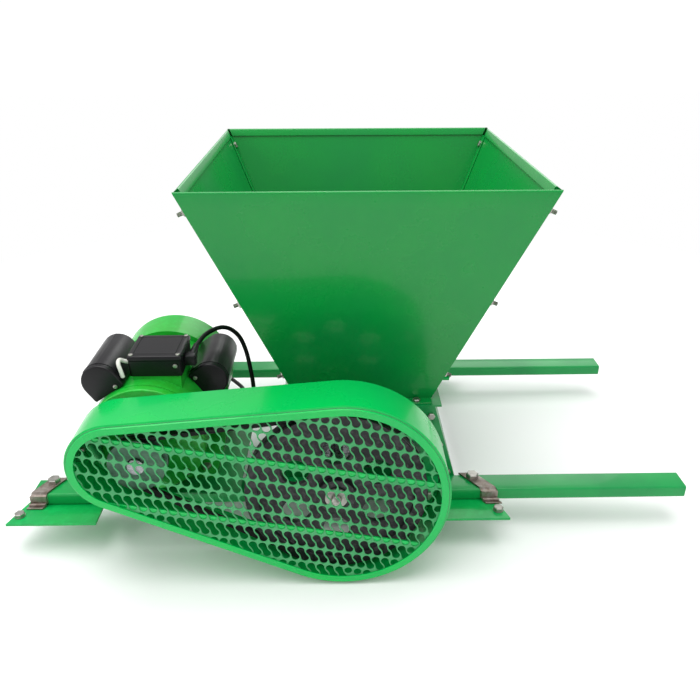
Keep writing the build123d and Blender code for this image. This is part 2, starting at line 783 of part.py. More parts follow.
def make_belt():
    """One V-section carried round both pulleys."""
    small = (motor_x, motor_z, motor_pulley_radius)
    large = (drive_x, roller_z, pulley_radius)
    plane = Plane(origin=(0, pulley_y, 0), x_dir=(1, 0, 0), z_dir=(0, -1, 0))
    path = plane.location * Wire(outline(small, large, belt_inset))
    start = path @ 0
    top = belt_top_width / 2
    foot = top - belt_depth * tan(radians(groove_angle))
    inward = Vector(0, 1, 0).cross(path % 0)
    middle = Vector((motor_x + drive_x) / 2, pulley_y, (motor_z + roller_z) / 2)
    if inward.dot(middle - start) < 0:
        inward = -inward
    section = make_face(Polyline((0, -top), (belt_depth, -foot), (belt_depth, foot), (0, top), close=True))
    across = Plane(origin=start, x_dir=inward, z_dir=inward.cross(Vector(0, 1, 0)))
    parts["v_belt"] = sweep(across.location * section, path=path)


# ---- motor
def make_motor():
    x, z = motor_x, motor_z
    shell = rod(x, z, motor_radius, motor_y1, motor_y2)
    foot_z = (base_top, base_top + motor_foot_thickness)
    foot_y = (motor_y1 + 20.0, motor_y2 - 12.0)
    shell += box((x - motor_foot_half, x + motor_foot_half), foot_y, foot_z)
    shell += box((x - 55.0, x + 55.0), foot_y, (base_top, z))
    shell += box((box_x[0] + 4, box_x[1] - 4), (box_y[0] + 4, box_y[1] - 4), (z, box_z[0]))
    shell -= rod(x, z, motor_radius - motor_wall, motor_y1 - 1, motor_y2 + 1)
    for bolt_x, bolt_y in motor_bolt_points():
        shell -= rod_z(bolt_x, bolt_y, frame_bolt_radius + running, base_top - 1, foot_z[1] + 1)
    parts["motor_housing"] = shell
    bearing = motor_bearing_radius
    front = rod(x, z, motor_radius, motor_front, motor_y1)
    front -= rod(x, z, motor_radius - motor_wall, motor_front + 5, motor_y1 + 1)
    front += collar(x, z, bearing + 5, bearing, motor_front + 3, motor_y1)
    front -= rod(x, z, motor_shaft_radius + 1.5, motor_front - 1, motor_front + 6)
    parts["motor_front_shield"] = front
    rear = rod(x, z, motor_radius, motor_y2, motor_y3)
    rear -= rod(x, z, motor_radius - motor_wall, motor_y2 - 1, motor_y3 - 5)
    rear += collar(x, z, bearing + 5, bearing, motor_y2, motor_y3 - 3)
    rear -= rod(x, z, motor_shaft_radius + 1.5, motor_y3 - 6, motor_y3 + 1)
    parts["motor_rear_shield"] = rear
    parts["motor_bearings"] = [
        collar(x, z, bearing - running, motor_shaft_radius + running, motor_front + 5.2, motor_y1 - 1),
        collar(x, z, bearing - running, motor_shaft_radius + running, motor_y2 + 1, motor_y3 - 5.2),
    ]
    core = (motor_y1 + core_inset, motor_y2 - core_inset)
    parts["motor_stator"] = collar(x, z, motor_radius - motor_wall - running, stator_bore, *core)
    parts["motor_rotor"] = collar(x, z, rotor_radius, motor_shaft_radius + running, *core)
    parts["motor_shaft"] = rod(x, z, motor_shaft_radius, pulley_y0 - 4.0, motor_y3 + 30.0)
    make_fan_and_cowl()


def make_fan_and_cowl():
    x, z = motor_x, motor_z
    fan_y = motor_y3 + 8.0
    fan = rod(x, z, fan_radius, fan_y, fan_y + 3.0) + rod(x, z, 20.0, fan_y, fan_y + 20.0)
    for number in range(8):
        blade = Rot(0, 45.0 * number, 0) * box((15.0, fan_radius - 2), (fan_y, fan_y + 20.0), (-1.5, 1.5))
        fan += Pos(x, 0, z) * blade
    parts["motor_fan"] = fan - rod(x, z, motor_shaft_radius + running, fan_y - 1, fan_y + 21.0)
    cowl_y1 = cowl_y0 + cowl_length
    cowl = rod(x, z, cowl_radius, cowl_y0, cowl_y1)
    cowl -= rod(x, z, cowl_radius - cowl_sheet, cowl_y0 - 1, cowl_y1 - cowl_sheet)
    for radius, count in ((22.0, 8), (38.0, 14), (54.0, 20), (70.0, 26)):
        for number in range(count):
            angle = 2 * pi * number / count
            cowl -= rod(x + radius * cos(angle), z + radius * sin(angle), 4.5, cowl_y1 - 4, cowl_y1 + 1)
    seat = collar(x, z, cowl_radius - cowl_sheet, motor_radius + running, cowl_y0, cowl_y0 + 8.0)
    parts["motor_cowl"] = cowl + seat


def motor_bolt_points():
    half = motor_foot_pitch_x / 2
    return [(motor_x + dx, y) for dx in (-half, half) for y in motor_foot_y]


def make_motor_mount():
    tubes = []
    for x in cross_tube_x:
        half = cross_tube_size / 2
        tube = box((x - half, x + half), (-rail_out, rail_out), (tube_z0, tube_z1))
        inner = half - cross_tube_wall
        tube -= box((x - inner, x + inner), (-rail_out - 1, rail_out + 1),
                    (tube_z0 + cross_tube_wall, tube_z1 - cross_tube_wall))
        for side in (-1, 1):
            tube -= rod_z(x, side * rail_mid, frame_bolt_radius + running, tube_z0 - 1, tube_z0 + 5)
        tubes.append(tube)
    parts["cross_tubes"] = tubes
    plate_y = (motor_front - 1.0, motor_y3 + 99.0)
    plate_x = (motor_x - motor_foot_half - 5.0, motor_x + motor_foot_half + 39.0)
    plate = box(plate_x, plate_y, (tube_z1, base_top))
    bolts = []
    for bolt_x, bolt_y in motor_bolt_points():
        plate -= rod_z(bolt_x, bolt_y, frame_bolt_radius + running, tube_z1 - 1, base_top + 1)
        head_z = base_top + motor_foot_thickness
        bolts.append(bolt((bolt_x, bolt_y, head_z), (0, 0, 1), frame_bolt_radius, 18.0))
        bolts.append(ring((bolt_x, bolt_y, tube_z1), (0, 0, -1), 6.5, frame_bolt_radius + running, 6.5, 6))
    plate -= box((motor_x - 25.0, motor_x + 25.0), (cowl_y0 - 3.0, cowl_y0 + cowl_length + 3.0),
                 (tube_z1 - 1, base_top + 1))
    plate -= rod_z(bracket_foot[0], bracket_foot[1], panel_bolt_radius + running, tube_z1 - 1, base_top + 1)
    parts["motor_base_plate"] = plate
    parts["motor_bolts"] = bolts


def make_terminal_box():
    floor = box_z[0]
    top = box_z[1] - lid_height
    case = box(box_x, box_y, (floor, top))
    case -= box((box_x[0] + box_wall, box_x[1] - box_wall), (box_y[0] + box_wall, box_y[1] - box_wall),
                (floor + box_wall, top + 1))
    parts["terminal_box"] = case
    lid = fillet(box(box_x, box_y, (top, box_z[1])).edges().filter_by(Axis.Z), 4.0)
    parts["terminal_lid"] = lid


def make_capacitors():
    covers = []
    for lean, setback in capacitor_places:
        seat = motor_radius + clearance
        centre = seat + capacitor_seat
        shape = Pos(0, centre) * Circle(capacitor_radius)
        shape += Pos(0, (centre + seat) / 2) * Rectangle(2 * capacitor_radius, centre - seat)
        shape -= Pos(0, seat - 10.0) * Rectangle(3 * capacitor_radius, 20.0)
        cover = Rot(0, lean, 0) * prism(shape, 0, capacitor_length)
        covers.append(Pos(motor_x, motor_front + setback, motor_z) * cover)
    parts["capacitor_covers"] = covers


def make_lead():
    """A light lead that loops out of the terminal box to the left capacitor."""
    wall, front, floor = box_x[0], box_y[0], box_z[0]
    points = [(wall, front + 10.0, floor + 19.0), (wall - 8.0, front + 10.0, floor + 19.0),
              (wall - 10.0, front + 3.0, floor + 27.0), (wall - 8.0, front - 5.0, floor + 21.0),
              (wall - 5.5, front - 7.0, floor + 13.0), (wall - 7.5, front - 7.0, floor + 4.0)]
    path = FilletPolyline(*points, radius=arc_radii(points))
    section = Plane(origin=path @ 0, z_dir=path % 0) * Circle(lead_radius)
    parts["capacitor_lead"] = sweep(section, path=path)


# ---- guard
def make_guard():
    front, back = guard_y
    band = prism(loop(guard_small, guard_large) - loop(guard_small, guard_large, guard_sheet), front, back)
    inner = loop(guard_small, guard_large, guard_lip)
    band += prism(loop(guard_small, guard_large, 0.5) - inner, front, front + guard_sheet)
    bead = loop(guard_small, guard_large, 0.5) - loop(guard_small, guard_large, guard_bead)
    band += prism(bead, back - guard_sheet, back)
    right_x, left_x = bracket_edges()
    band -= rod_x(bracket_y, bracket_z, panel_bolt_radius + running, right_x - 9, right_x + 9)
    band -= rod_x(bracket_y, guard_small[1], panel_bolt_radius + running, left_x - 9, left_x + 9)
    notch_y = (back - guard_sheet - clearance, back + 1)
    notch_z = (bracket_z - bracket_half - 1.0, bracket_z + bracket_half + 1.0)
    band -= box((right_x - 5.0, right_x + bracket_gap), notch_y, notch_z)
    band -= box((left_x - 2.0, left_x + 6.0), notch_y, (guard_small[1] - 13.0, guard_small[1] + 13.0))
    parts["guard_band"] = band
    make_grille(front + guard_sheet + clearance)
    make_guard_brackets()


def lobe_hole():
    """A hole of two round lobes joined by a waist, about the middle of the pair."""
    step = Vector(*lobe_step, 0)
    half = step.length / 2
    turn = degrees(atan2(step.Y, step.X))
    blend = (half ** 2 + lobe_waist ** 2 - lobe_radius ** 2) / (2 * (lobe_radius - lobe_waist))
    rise = lobe_waist + blend
    share = lobe_radius / (lobe_radius + blend)
    tangent_x = half - half * share
    tangent_y = rise * share
    corners = [(tangent_x, tangent_y), (-tangent_x, tangent_y),
               (-tangent_x, -tangent_y), (tangent_x, -tangent_y)]
    edges = [
        ThreePointArc(corners[3], (half + lobe_radius, 0), corners[0]),
        ThreePointArc(corners[0], (0, lobe_waist), corners[1]),
        ThreePointArc(corners[1], (-half - lobe_radius, 0), corners[2]),
        ThreePointArc(corners[2], (0, -lobe_waist), corners[3]),
    ]
    return Rot(0, 0, turn) * Wire(edges)


def inside_guard(x, z, margin):
    """Whether a point lies inside the guard by a margin."""
    (x1, z1, r1), (x2, z2, r2) = guard_small, guard_large
    steps = 40
    for number in range(steps + 1):
        share = number / steps
        radius = r1 + share * (r2 - r1) - margin
        if hypot(x - x1 - share * (x2 - x1), z - z1 - share * (z2 - z1)) < radius:
            return True
    return False


def grille_centres():
    """Middles of the grille's two-lobed holes in sloping rows, and of round ones where only one lobe fits."""
    (x1, z1, _), (x2, z2, r2) = guard_small, guard_large
    slope = atan2(z2 - z1, x2 - x1)
    along = (cos(slope), sin(slope))
    across = (-sin(slope), cos(slope))
    margin = guard_sheet + lobe_radius + grille_edge
    pairs, singles = [], []
    rows = int(2 * r2 / grille_row) + 2
    columns = int(700 / grille_pitch)
    for row in range(-rows, rows):
        for column in range(-columns, columns):
            u = column * grille_pitch + (row % 2) * grille_shift
            v = row * grille_row
            x = x2 + u * along[0] + v * across[0]
            z = z2 + u * along[1] + v * across[1]
            lobes = [(x + s * lobe_step[0] / 2, z + s * lobe_step[1] / 2) for s in (-1, 1)]
            fitting = [lobe for lobe in lobes if inside_guard(*lobe, margin)]
            if len(fitting) == 2:
                pairs.append((x, z))
            else:
                singles += fitting
    return pairs, singles


def make_grille(y):
    sheet = loop(guard_small, guard_large, guard_sheet + running)
    rim = sheet.faces()[0].outer_wire()
    pairs, singles = grille_centres()
    slot, hole = lobe_hole(), Wire(Edge.make_circle(lobe_radius))
    holes = [Pos(x, z) * slot for x, z in pairs] + [Pos(x, z) * hole for x, z in singles]
    parts["guard_grille"] = prism(Sketch() + Face(rim, holes), y, y + grille_sheet)
    bars = []
    back = y + grille_sheet
    edge = loop(guard_small, guard_large, guard_sheet + 1.0)
    for (left_dx, left_dz), (right_dx, right_dz) in bar_ends:
        x0, z0 = guard_small[0] + left_dx, guard_small[1] + left_dz
        x1, z1 = guard_large[0] + right_dx, guard_large[1] + right_dz
        length = hypot(x1 - x0, z1 - z0) + 60
        turn = degrees(atan2(z1 - z0, x1 - x0))
        strip = Pos((x0 + x1) / 2, (z0 + z1) / 2) * Rot(0, 0, turn) * Rectangle(length, bar_width)
        bars.append(prism(strip & edge, back, back + bar_thickness))
    parts["guard_bars"] = bars


def bracket_edges():
    """Outer faces of the right and left brackets' legs, just inside the band."""
    right = guard_large[0] + guard_large[2] - guard_sheet - bracket_gap
    left = guard_small[0] - guard_small[2] + guard_sheet + bracket_gap + 1.2
    return right, left


def make_guard_brackets():
    """A bracket on the body's right corner and one on the motor's base plate."""
    right_x, left_x = bracket_edges()
    leg_y = bracket_y - 12.0
    z = (bracket_z - bracket_half, bracket_z + bracket_half)
    right = box((right_x - bracket_sheet, right_x), (leg_y, -rail_in), z)
    right += box((bracket_bolt_x - 8.0, right_x), (-rail_in - bracket_sheet, -rail_in), z)
    right -= rod_x(bracket_y, bracket_z, panel_bolt_radius + running, right_x - 9, right_x + 9)
    right -= rod(bracket_bolt_x, bracket_z, panel_bolt_radius + running, -rail_in - 9, -rail_in + 1)
    back = (motor_front - 6.0, motor_front - 3.0)
    top = guard_small[1] + 12.0
    left = box((left_x, left_x + 20.0), back, (base_top, top))
    left += box((left_x, left_x + bracket_sheet), (leg_y, back[1]), (top - 24.0, top))
    foot_y = (back[0], bracket_foot[1] + 8.0)
    left += box((left_x, left_x + 26.0), foot_y, (base_top, base_top + bracket_sheet))
    left -= rod_x(bracket_y, guard_small[1], panel_bolt_radius + running, left_x - 9, left_x + 9)
    left -= rod_z(*bracket_foot, panel_bolt_radius + running, base_top - 1, base_top + 9)
    parts["guard_brackets"] = [right, left]
    outer_right = guard_large[0] + guard_large[2]
    outer_left = guard_small[0] - guard_small[2]
    parts["guard_bolts"] = [
        bolt((outer_right, bracket_y, bracket_z), (1, 0, 0), panel_bolt_radius, 12.0, 3.5),
        bolt((outer_left, bracket_y, guard_small[1]), (-1, 0, 0), panel_bolt_radius, 12.0, 3.5),
        bolt((bracket_bolt_x, -rail_in - bracket_sheet, bracket_z), (0, -1, 0), panel_bolt_radius, 6.0),
        bolt((*bracket_foot, base_top + bracket_sheet), (0, 0, 1), panel_bolt_radius, 6.0),
    ]


# ---- cord
def arc_radii(points):
    """The largest arc that fits at each corner of a route."""
    radii = []
    for before, here, after in zip(points, points[1:], points[2:]):
        first = Vector(*here) - Vector(*before)
        second = Vector(*after) - Vector(*here)
        turn = radians(first.get_angle(second))
        radii.append(0.45 * min(first.length, second.length) / tan(turn / 2))
    return radii


def make_cord():
    exit_x, exit_y, exit_z = cord_route[0]
    block = box((box_x[1], exit_x + 8.0), (exit_y - 28.0, exit_y - 12.0), (exit_z - 8.0, exit_z + 8.0))
    block += rod(exit_x, exit_z, 6.0, exit_y - 13.0, exit_y)
    parts["cord_gland"] = block
    radii = arc_radii(cord_route)
    print("cord arc radii", [round(radius, 1) for radius in radii])
    path = FilletPolyline(*cord_route, radius=radii)
    start = Vector(*cord_route[1]) - Vector(*cord_route[0])
    section = Plane(origin=cord_route[0], z_dir=start) * Circle(cord_radius)
    tube = sweep(section, path=path)
    ideal = pi * cord_radius ** 2 * path.length
    print("cord length", round(path.length, 1), "volume ratio", round(tube.volume / ideal, 4))
    parts["power_cord"] = tube
    x, y = coil_centre
    z0 = tube_z1 + clearance
    coil = rod_z(x, y, coil_outer, z0, z0 + coil_height)
    parts["cord_coil"] = coil - rod_z(x, y, coil_inner, z0 - 1, z0 + coil_height + 1)
    plug_z = z0 + coil_height + clearance + plug_radius
    x += plug_shift
    y += (coil_outer + coil_inner) / 2
    face = x - plug_length / 2
    plug = rod_x(y, plug_z, plug_radius, face, face + plug_length)
    for dy in (-pin_pitch / 2, pin_pitch / 2):
        plug += rod_x(y + dy, plug_z, pin_radius, face - pin_length, face + 1)
    parts["plug"] = plug


def write_parts():
    os.makedirs("parts", exist_ok=True)
    for name, shape in parts.items():
        solids = shape if isinstance(shape, list) else [shape]
        group = Compound(children=[solid for item in solids for solid in item.solids()])
        export_step(group, f"parts/{name}.step")
    print(len(parts), "nodes")


make_rails()
make_feet()
make_straps()
make_body()
make_top_plate()
make_body_bolts()
make_rollers()
make_bearings()
make_gears()
make_gear_cover()
hopper_hole_cutters = hopper_holes()
make_hopper_cross_panels(hopper_hole_cutters)
make_hopper_side_panels(hopper_hole_cutters)
make_hopper_bolts()
make_pulleys()
make_belt()
make_motor()
make_motor_mount()
make_terminal_box()
make_capacitors()
make_lead()
make_guard()
make_cord()
write_parts()
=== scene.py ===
# %% [markdown]
# # A motor-driven grape crusher, built piece by piece
#
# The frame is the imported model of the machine: its sizes, joints and fits are settled there. This lesson gives it
# looks. Rigid pieces keep the place that the frame states, and most of them are made again with rolled edges,
# bends and threads, because a machine shop never leaves an edge as sharp as a drawing.

# %% Load the frame
import math

import bmesh
import bpy
import numpy as np
from mathutils import Matrix, Vector


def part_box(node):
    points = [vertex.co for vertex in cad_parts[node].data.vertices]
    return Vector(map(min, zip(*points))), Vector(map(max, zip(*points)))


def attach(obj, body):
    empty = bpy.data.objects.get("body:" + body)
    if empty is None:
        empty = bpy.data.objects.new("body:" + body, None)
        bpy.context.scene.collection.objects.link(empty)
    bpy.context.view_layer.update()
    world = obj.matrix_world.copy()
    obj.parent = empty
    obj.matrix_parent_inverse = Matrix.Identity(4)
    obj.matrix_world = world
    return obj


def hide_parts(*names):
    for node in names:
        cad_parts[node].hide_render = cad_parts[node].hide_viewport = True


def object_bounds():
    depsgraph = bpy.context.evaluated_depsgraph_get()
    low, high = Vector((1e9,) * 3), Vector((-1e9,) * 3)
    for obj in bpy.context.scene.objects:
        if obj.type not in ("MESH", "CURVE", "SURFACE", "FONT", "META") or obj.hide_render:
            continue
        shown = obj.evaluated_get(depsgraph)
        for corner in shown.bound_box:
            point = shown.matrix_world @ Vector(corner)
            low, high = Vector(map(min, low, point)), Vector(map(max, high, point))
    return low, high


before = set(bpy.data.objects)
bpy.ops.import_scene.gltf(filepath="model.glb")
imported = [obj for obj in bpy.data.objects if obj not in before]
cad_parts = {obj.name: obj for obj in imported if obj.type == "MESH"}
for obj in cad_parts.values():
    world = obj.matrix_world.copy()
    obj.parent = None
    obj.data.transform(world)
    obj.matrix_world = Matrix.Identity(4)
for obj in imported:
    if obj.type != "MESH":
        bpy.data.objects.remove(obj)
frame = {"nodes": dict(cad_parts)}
cad_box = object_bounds()
nodes = frame["nodes"]
MM = 0.001
print(len(nodes), "nodes in the frame, box", [tuple(round(c, 3) for c in corner) for corner in cad_box])

# %% [markdown]
# ## The camera
# A machine of this kind is looked at from the guard's side, from a little above the hopper's rim, so that the
# mouth of the hopper and the tops of the rails both show. The lens is slightly wide.

# %% Camera
CAMERA_PLACE = Vector((-0.0411, -1.1252, 0.7054))
CAMERA_TURN = (math.radians(64.05), math.radians(0.14), math.radians(-0.97))
LENS = 36.59

camera_data = bpy.data.cameras.new("camera")
camera_data.lens = LENS
camera_data.sensor_width = 36.0
camera = bpy.data.objects.new("camera", camera_data)
camera.location = CAMERA_PLACE
camera.rotation_euler = CAMERA_TURN
bpy.context.scene.collection.objects.link(camera)
bpy.context.scene.camera = camera

# %% [markdown]
# ## Floor and studio light
# A plain white sweep and large, soft lights. Enamel shows its gloss by what it mirrors, so the lamps are broad
# panels with soft edges: one overhead, one from each side, and a weak one from behind.

# %% Floor and lights
FLOOR_DROP = 0.002
FADE = (0.7, 1.6)


def fade_to_white(tree, shader):
    """Away from the machine the camera sees plain white, so that the floor has no horizon."""
    nodes, links = tree.nodes, tree.links
    distance = nodes.new("ShaderNodeVectorMath")
    distance.operation = "LENGTH"
    links.new(nodes.new("ShaderNodeNewGeometry").outputs["Position"], distance.inputs[0])
    spread = nodes.new("ShaderNodeMapRange")
    spread.inputs["From Min"].default_value, spread.inputs["From Max"].default_value = FADE
    links.new(distance.outputs["Value"], spread.inputs["Value"])
    seen = nodes.new("ShaderNodeMath")
    seen.operation = "MULTIPLY"
    links.new(spread.outputs["Result"], seen.inputs[0])
    links.new(nodes.new("ShaderNodeLightPath").outputs["Is Camera Ray"], seen.inputs[1])
    white = nodes.new("ShaderNodeEmission")
    mix = nodes.new("ShaderNodeMixShader")
    links.new(seen.outputs["Value"], mix.inputs["Fac"])
    links.new(shader.outputs["BSDF"], mix.inputs[1])
    links.new(white.outputs["Emission"], mix.inputs[2])
    links.new(mix.outputs["Shader"], nodes["Material Output"].inputs["Surface"])


def add_floor(z, size=12.0):
    mesh = bpy.data.meshes.new("floor")
    half = size / 2
    mesh.from_pydata([(-half, -half, z), (half, -half, z), (half, half, z), (-half, half, z)], [], [(0, 1, 2, 3)])
    floor = bpy.data.objects.new("floor", mesh)
    bpy.context.scene.collection.objects.link(floor)
    material = bpy.data.materials.new("floor_white")
    material.use_nodes = True
    shader = material.node_tree.nodes["Principled BSDF"]
    shader.inputs["Base Color"].default_value = (0.9, 0.9, 0.9, 1)
    shader.inputs["Roughness"].default_value = 0.9
    fade_to_white(material.node_tree, shader)
    mesh.materials.append(material)
    return floor


def add_panel_light(name, place, target, size, power, colour=(1, 1, 1)):
    data = bpy.data.lights.new(name, "AREA")
    data.shape = "RECTANGLE"
    data.size, data.size_y = size
    data.energy = power
    data.color = colour
    light = bpy.data.objects.new(name, data)
    light.location = place
    light.rotation_euler = (Vector(target) - Vector(place)).to_track_quat("-Z", "Y").to_euler()
    bpy.context.scene.collection.objects.link(light)
    return light


floor = add_floor(cad_box[0][2] - FLOOR_DROP)
MIDDLE = (0.0, 0.0, 0.15)
add_panel_light("overhead", (-0.2, -0.1, 2.4), MIDDLE, (2.6, 2.2), 62)
add_panel_light("left_side", (-2.3, -1.2, 1.5), MIDDLE, (1.6, 1.6), 22)
add_panel_light("right_side", (2.3, -1.6, 1.3), MIDDLE, (1.4, 1.8), 14)
add_panel_light("behind", (0.5, 2.4, 1.6), MIDDLE, (2.0, 1.4), 16)

world = bpy.data.worlds.new("studio")
world.use_nodes = True
world.node_tree.nodes["Background"].inputs["Color"].default_value = (1, 1, 1, 1)
# The camera sees a white room, while the machine is lit by a dimmer one, so that its colours keep their depth.
seen = world.node_tree.nodes.new("ShaderNodeLightPath")
strength = world.node_tree.nodes.new("ShaderNodeMapRange")
strength.inputs["To Min"].default_value = 0.62
strength.inputs["To Max"].default_value = 1.05
world.node_tree.links.new(seen.outputs["Is Camera Ray"], strength.inputs["Value"])
world.node_tree.links.new(strength.outputs["Result"], world.node_tree.nodes["Background"].inputs["Strength"])
bpy.context.scene.world = world
bpy.context.scene.view_settings.view_transform = "Standard"

# %% [markdown]
# ## Finishes
# Every finish is made of the same few effects: colour that drifts over a surface, the fine dimples of sprayed
# enamel, and wear where an edge is rubbed. Each effect is a node group, so it is built once and then placed with
# its own values in each material. A group hands back only colours, masks, values and heights, and the shader
# itself stays in the material.

# %% Node helpers
def put(tree, kind, inputs=None, **settings):
    """Adds a node, sets its settings, and fills or links its inputs by name or number."""
    node = tree.nodes.new(kind)
    for name, value in settings.items():
        setattr(node, name, value)
    for name, value in (inputs or {}).items():
        if isinstance(value, bpy.types.NodeSocket):
            tree.links.new(value, node.inputs[name])
        else:
            node.inputs[name].default_value = value
    return node


def new_group(name, kind, inputs, outputs):
    """A node group with named inputs and outputs, and its two end nodes."""
    group = bpy.data.node_groups.new(name, kind)
    for label, socket, value in inputs:
        made = group.interface.new_socket(label, in_out="INPUT", socket_type=socket)
        if value is not None:
            made.default_value = value
    for label, socket in outputs:
        group.interface.new_socket(label, in_out="OUTPUT", socket_type=socket)
    return group, put(group, "NodeGroupInput"), put(group, "NodeGroupOutput")


def linear(red, green, blue):
    """A colour named as screen values from 0 to 255, turned into the linear values that shaders use."""
    def curve(value):
        value /= 255
        return value / 12.92 if value <= 0.04045 else ((value + 0.055) / 1.055) ** 2.4
    return (curve(red), curve(green), curve(blue), 1.0)


# %% Drift: a slow change from one colour to another
def make_drift():
    group, enter, leave = new_group("drift", "ShaderNodeTree", [
        ("Colour", "NodeSocketColor", (0.5, 0.5, 0.5, 1)), ("Other", "NodeSocketColor", (0.4, 0.4, 0.4, 1)),
        ("Scale", "NodeSocketFloat", 6.0), ("Amount", "NodeSocketFloat", 0.5)],
        [("Colour", "NodeSocketColor"), ("Mask", "NodeSocketFloat")])
    place = put(group, "ShaderNodeTexCoord").outputs["Object"]
    noise = put(group, "ShaderNodeTexNoise", {"Vector": place, "Scale": enter.outputs["Scale"], "Detail": 5.0,
                                              "Roughness": 0.6})
    spread = put(group, "ShaderNodeMapRange", {"Value": noise.outputs["Fac"], "From Min": 0.35, "From Max": 0.68,
                                               "To Min": 0.0, "To Max": enter.outputs["Amount"]})
    mix = put(group, "ShaderNodeMix", {"Factor": spread.outputs["Result"], 6: enter.outputs["Colour"],
                                       7: enter.outputs["Other"]}, data_type="RGBA")
    group.links.new(mix.outputs[2], leave.inputs["Colour"])
    group.links.new(spread.outputs["Result"], leave.inputs["Mask"])
    return group


DRIFT = make_drift()

# %% Peel: the dimples of a sprayed or moulded surface
def make_peel():
    group, enter, leave = new_group("peel", "ShaderNodeTree", [
        ("Scale", "NodeSocketFloat", 300.0), ("Waves", "NodeSocketFloat", 8.0), ("Wave Height", "NodeSocketFloat", 1.0)],
        [("Height", "NodeSocketFloat")])
    place = put(group, "ShaderNodeTexCoord").outputs["Object"]
    fine = put(group, "ShaderNodeTexNoise", {"Vector": place, "Scale": enter.outputs["Scale"], "Detail": 2.0})
    slow = put(group, "ShaderNodeTexNoise", {"Vector": place, "Scale": enter.outputs["Waves"], "Detail": 1.0})
    raised = put(group, "ShaderNodeMath", {0: slow.outputs["Fac"], 1: enter.outputs["Wave Height"]},
                 operation="MULTIPLY")
    total = put(group, "ShaderNodeMath", {0: fine.outputs["Fac"], 1: raised.outputs[0]}, operation="ADD")
    group.links.new(total.outputs[0], leave.inputs["Height"])
    return group


PEEL = make_peel()

# %% Rub: where an edge has lost its skin
# The meshes carry an attribute named edge, which is 1 on a rolled edge and 0 on the faces beside it. Noise breaks
# it up, so that the wear comes and goes along the edge as it does on a tool that has been handled.
def make_rub():
    group, enter, leave = new_group("rub", "ShaderNodeTree", [
        ("Scale", "NodeSocketFloat", 60.0), ("Amount", "NodeSocketFloat", 0.5)], [("Mask", "NodeSocketFloat")])
    place = put(group, "ShaderNodeTexCoord").outputs["Object"]
    edge = put(group, "ShaderNodeAttribute", attribute_name="edge")
    noise = put(group, "ShaderNodeTexNoise", {"Vector": place, "Scale": enter.outputs["Scale"], "Detail": 4.0})
    broken = put(group, "ShaderNodeMapRange", {"Value": noise.outputs["Fac"], "From Min": 0.5, "From Max": 0.62})
    both = put(group, "ShaderNodeMath", {0: edge.outputs["Fac"], 1: broken.outputs["Result"]}, operation="MULTIPLY")
    scaled = put(group, "ShaderNodeMath", {0: both.outputs[0], 1: enter.outputs["Amount"]}, operation="MULTIPLY",
                 use_clamp=True)
    group.links.new(scaled.outputs[0], leave.inputs["Mask"])
    return group


RUB = make_rub()

# %% Brush: long fine scratches on bare metal
def make_brush():
    group, enter, leave = new_group("brush", "ShaderNodeTree", [
        ("Stretch", "NodeSocketVector", (4.0, 200.0, 200.0)), ("Low", "NodeSocketFloat", 0.3),
        ("High", "NodeSocketFloat", 0.5)], [("Roughness", "NodeSocketFloat"), ("Height", "NodeSocketFloat")])
    place = put(group, "ShaderNodeTexCoord").outputs["Object"]
    drawn = put(group, "ShaderNodeVectorMath", {0: place, 1: enter.outputs["Stretch"]}, operation="MULTIPLY")
    noise = put(group, "ShaderNodeTexNoise", {"Vector": drawn.outputs[0], "Scale": 1.0, "Detail": 3.0})
    rough = put(group, "ShaderNodeMapRange", {"Value": noise.outputs["Fac"], "From Min": 0.3, "From Max": 0.7,
                                              "To Min": enter.outputs["Low"], "To Max": enter.outputs["High"]})
    group.links.new(rough.outputs["Result"], leave.inputs["Roughness"])
    group.links.new(noise.outputs["Fac"], leave.inputs["Height"])
    return group


BRUSH = make_brush()

# %% [markdown]
# ## The materials
# Four recipes cover the whole machine: sprayed enamel, bare or plated metal, cast metal and moulded plastic or
# rubber. Each takes its colours and its scale, so the guard's fresh green and the rails' darker one are the same
# recipe with other numbers.

# %% Material recipes
def use_group(tree, group, **inputs):
    node = put(tree, "ShaderNodeGroup", node_tree=group)
    for name, value in inputs.items():
        socket = node.inputs[name.replace("_", " ").title()]
        if isinstance(value, bpy.types.NodeSocket):
            tree.links.new(value, socket)
        else:
            socket.default_value = value
    return node


def start_material(name, **shader_values):
    material = bpy.data.materials.new(name)
    material.use_nodes = True
    tree = material.node_tree
    shader = tree.nodes["Principled BSDF"]
    for label, value in shader_values.items():
        shader.inputs[label.replace("_", " ").title().replace("Ior", "IOR")].default_value = value
    return material, tree, shader


def add_bump(tree, shader, height, strength, depth):
    bump = put(tree, "ShaderNodeBump", {"Height": height, "Strength": strength, "Distance": depth})
    tree.links.new(bump.outputs["Normal"], shader.inputs["Normal"])


def enamel(name, colour, other, roughness=0.3, peel=0.15, waves=6.0, wave_height=6.0, worn=0.35, coat=0.25):
    """Sprayed enamel: drifting colour, orange peel, and a paler or bare line along rubbed edges."""
    material, tree, shader = start_material(name, coat_weight=coat, coat_roughness=0.08, specular_ior_level=0.3)
    drift = use_group(tree, DRIFT, colour=linear(*colour), other=linear(*other), scale=7.0, amount=0.8)
    rub = use_group(tree, RUB, scale=90.0, amount=worn)
    rubbed = linear(*[min(255, c * 1.12 + 30) for c in colour])
    mix = put(tree, "ShaderNodeMix", {"Factor": rub.outputs["Mask"], 6: drift.outputs["Colour"], 7: rubbed},
              data_type="RGBA")
    tree.links.new(mix.outputs[2], shader.inputs["Base Color"])
    smear = put(tree, "ShaderNodeMapRange", {"Value": drift.outputs["Mask"], "To Min": roughness,
                                             "To Max": roughness + 0.14})
    tree.links.new(smear.outputs["Result"], shader.inputs["Roughness"])
    skin = use_group(tree, PEEL, scale=420.0, waves=waves, wave_height=wave_height)
    add_bump(tree, shader, skin.outputs["Height"], peel, 0.0006)
    return material


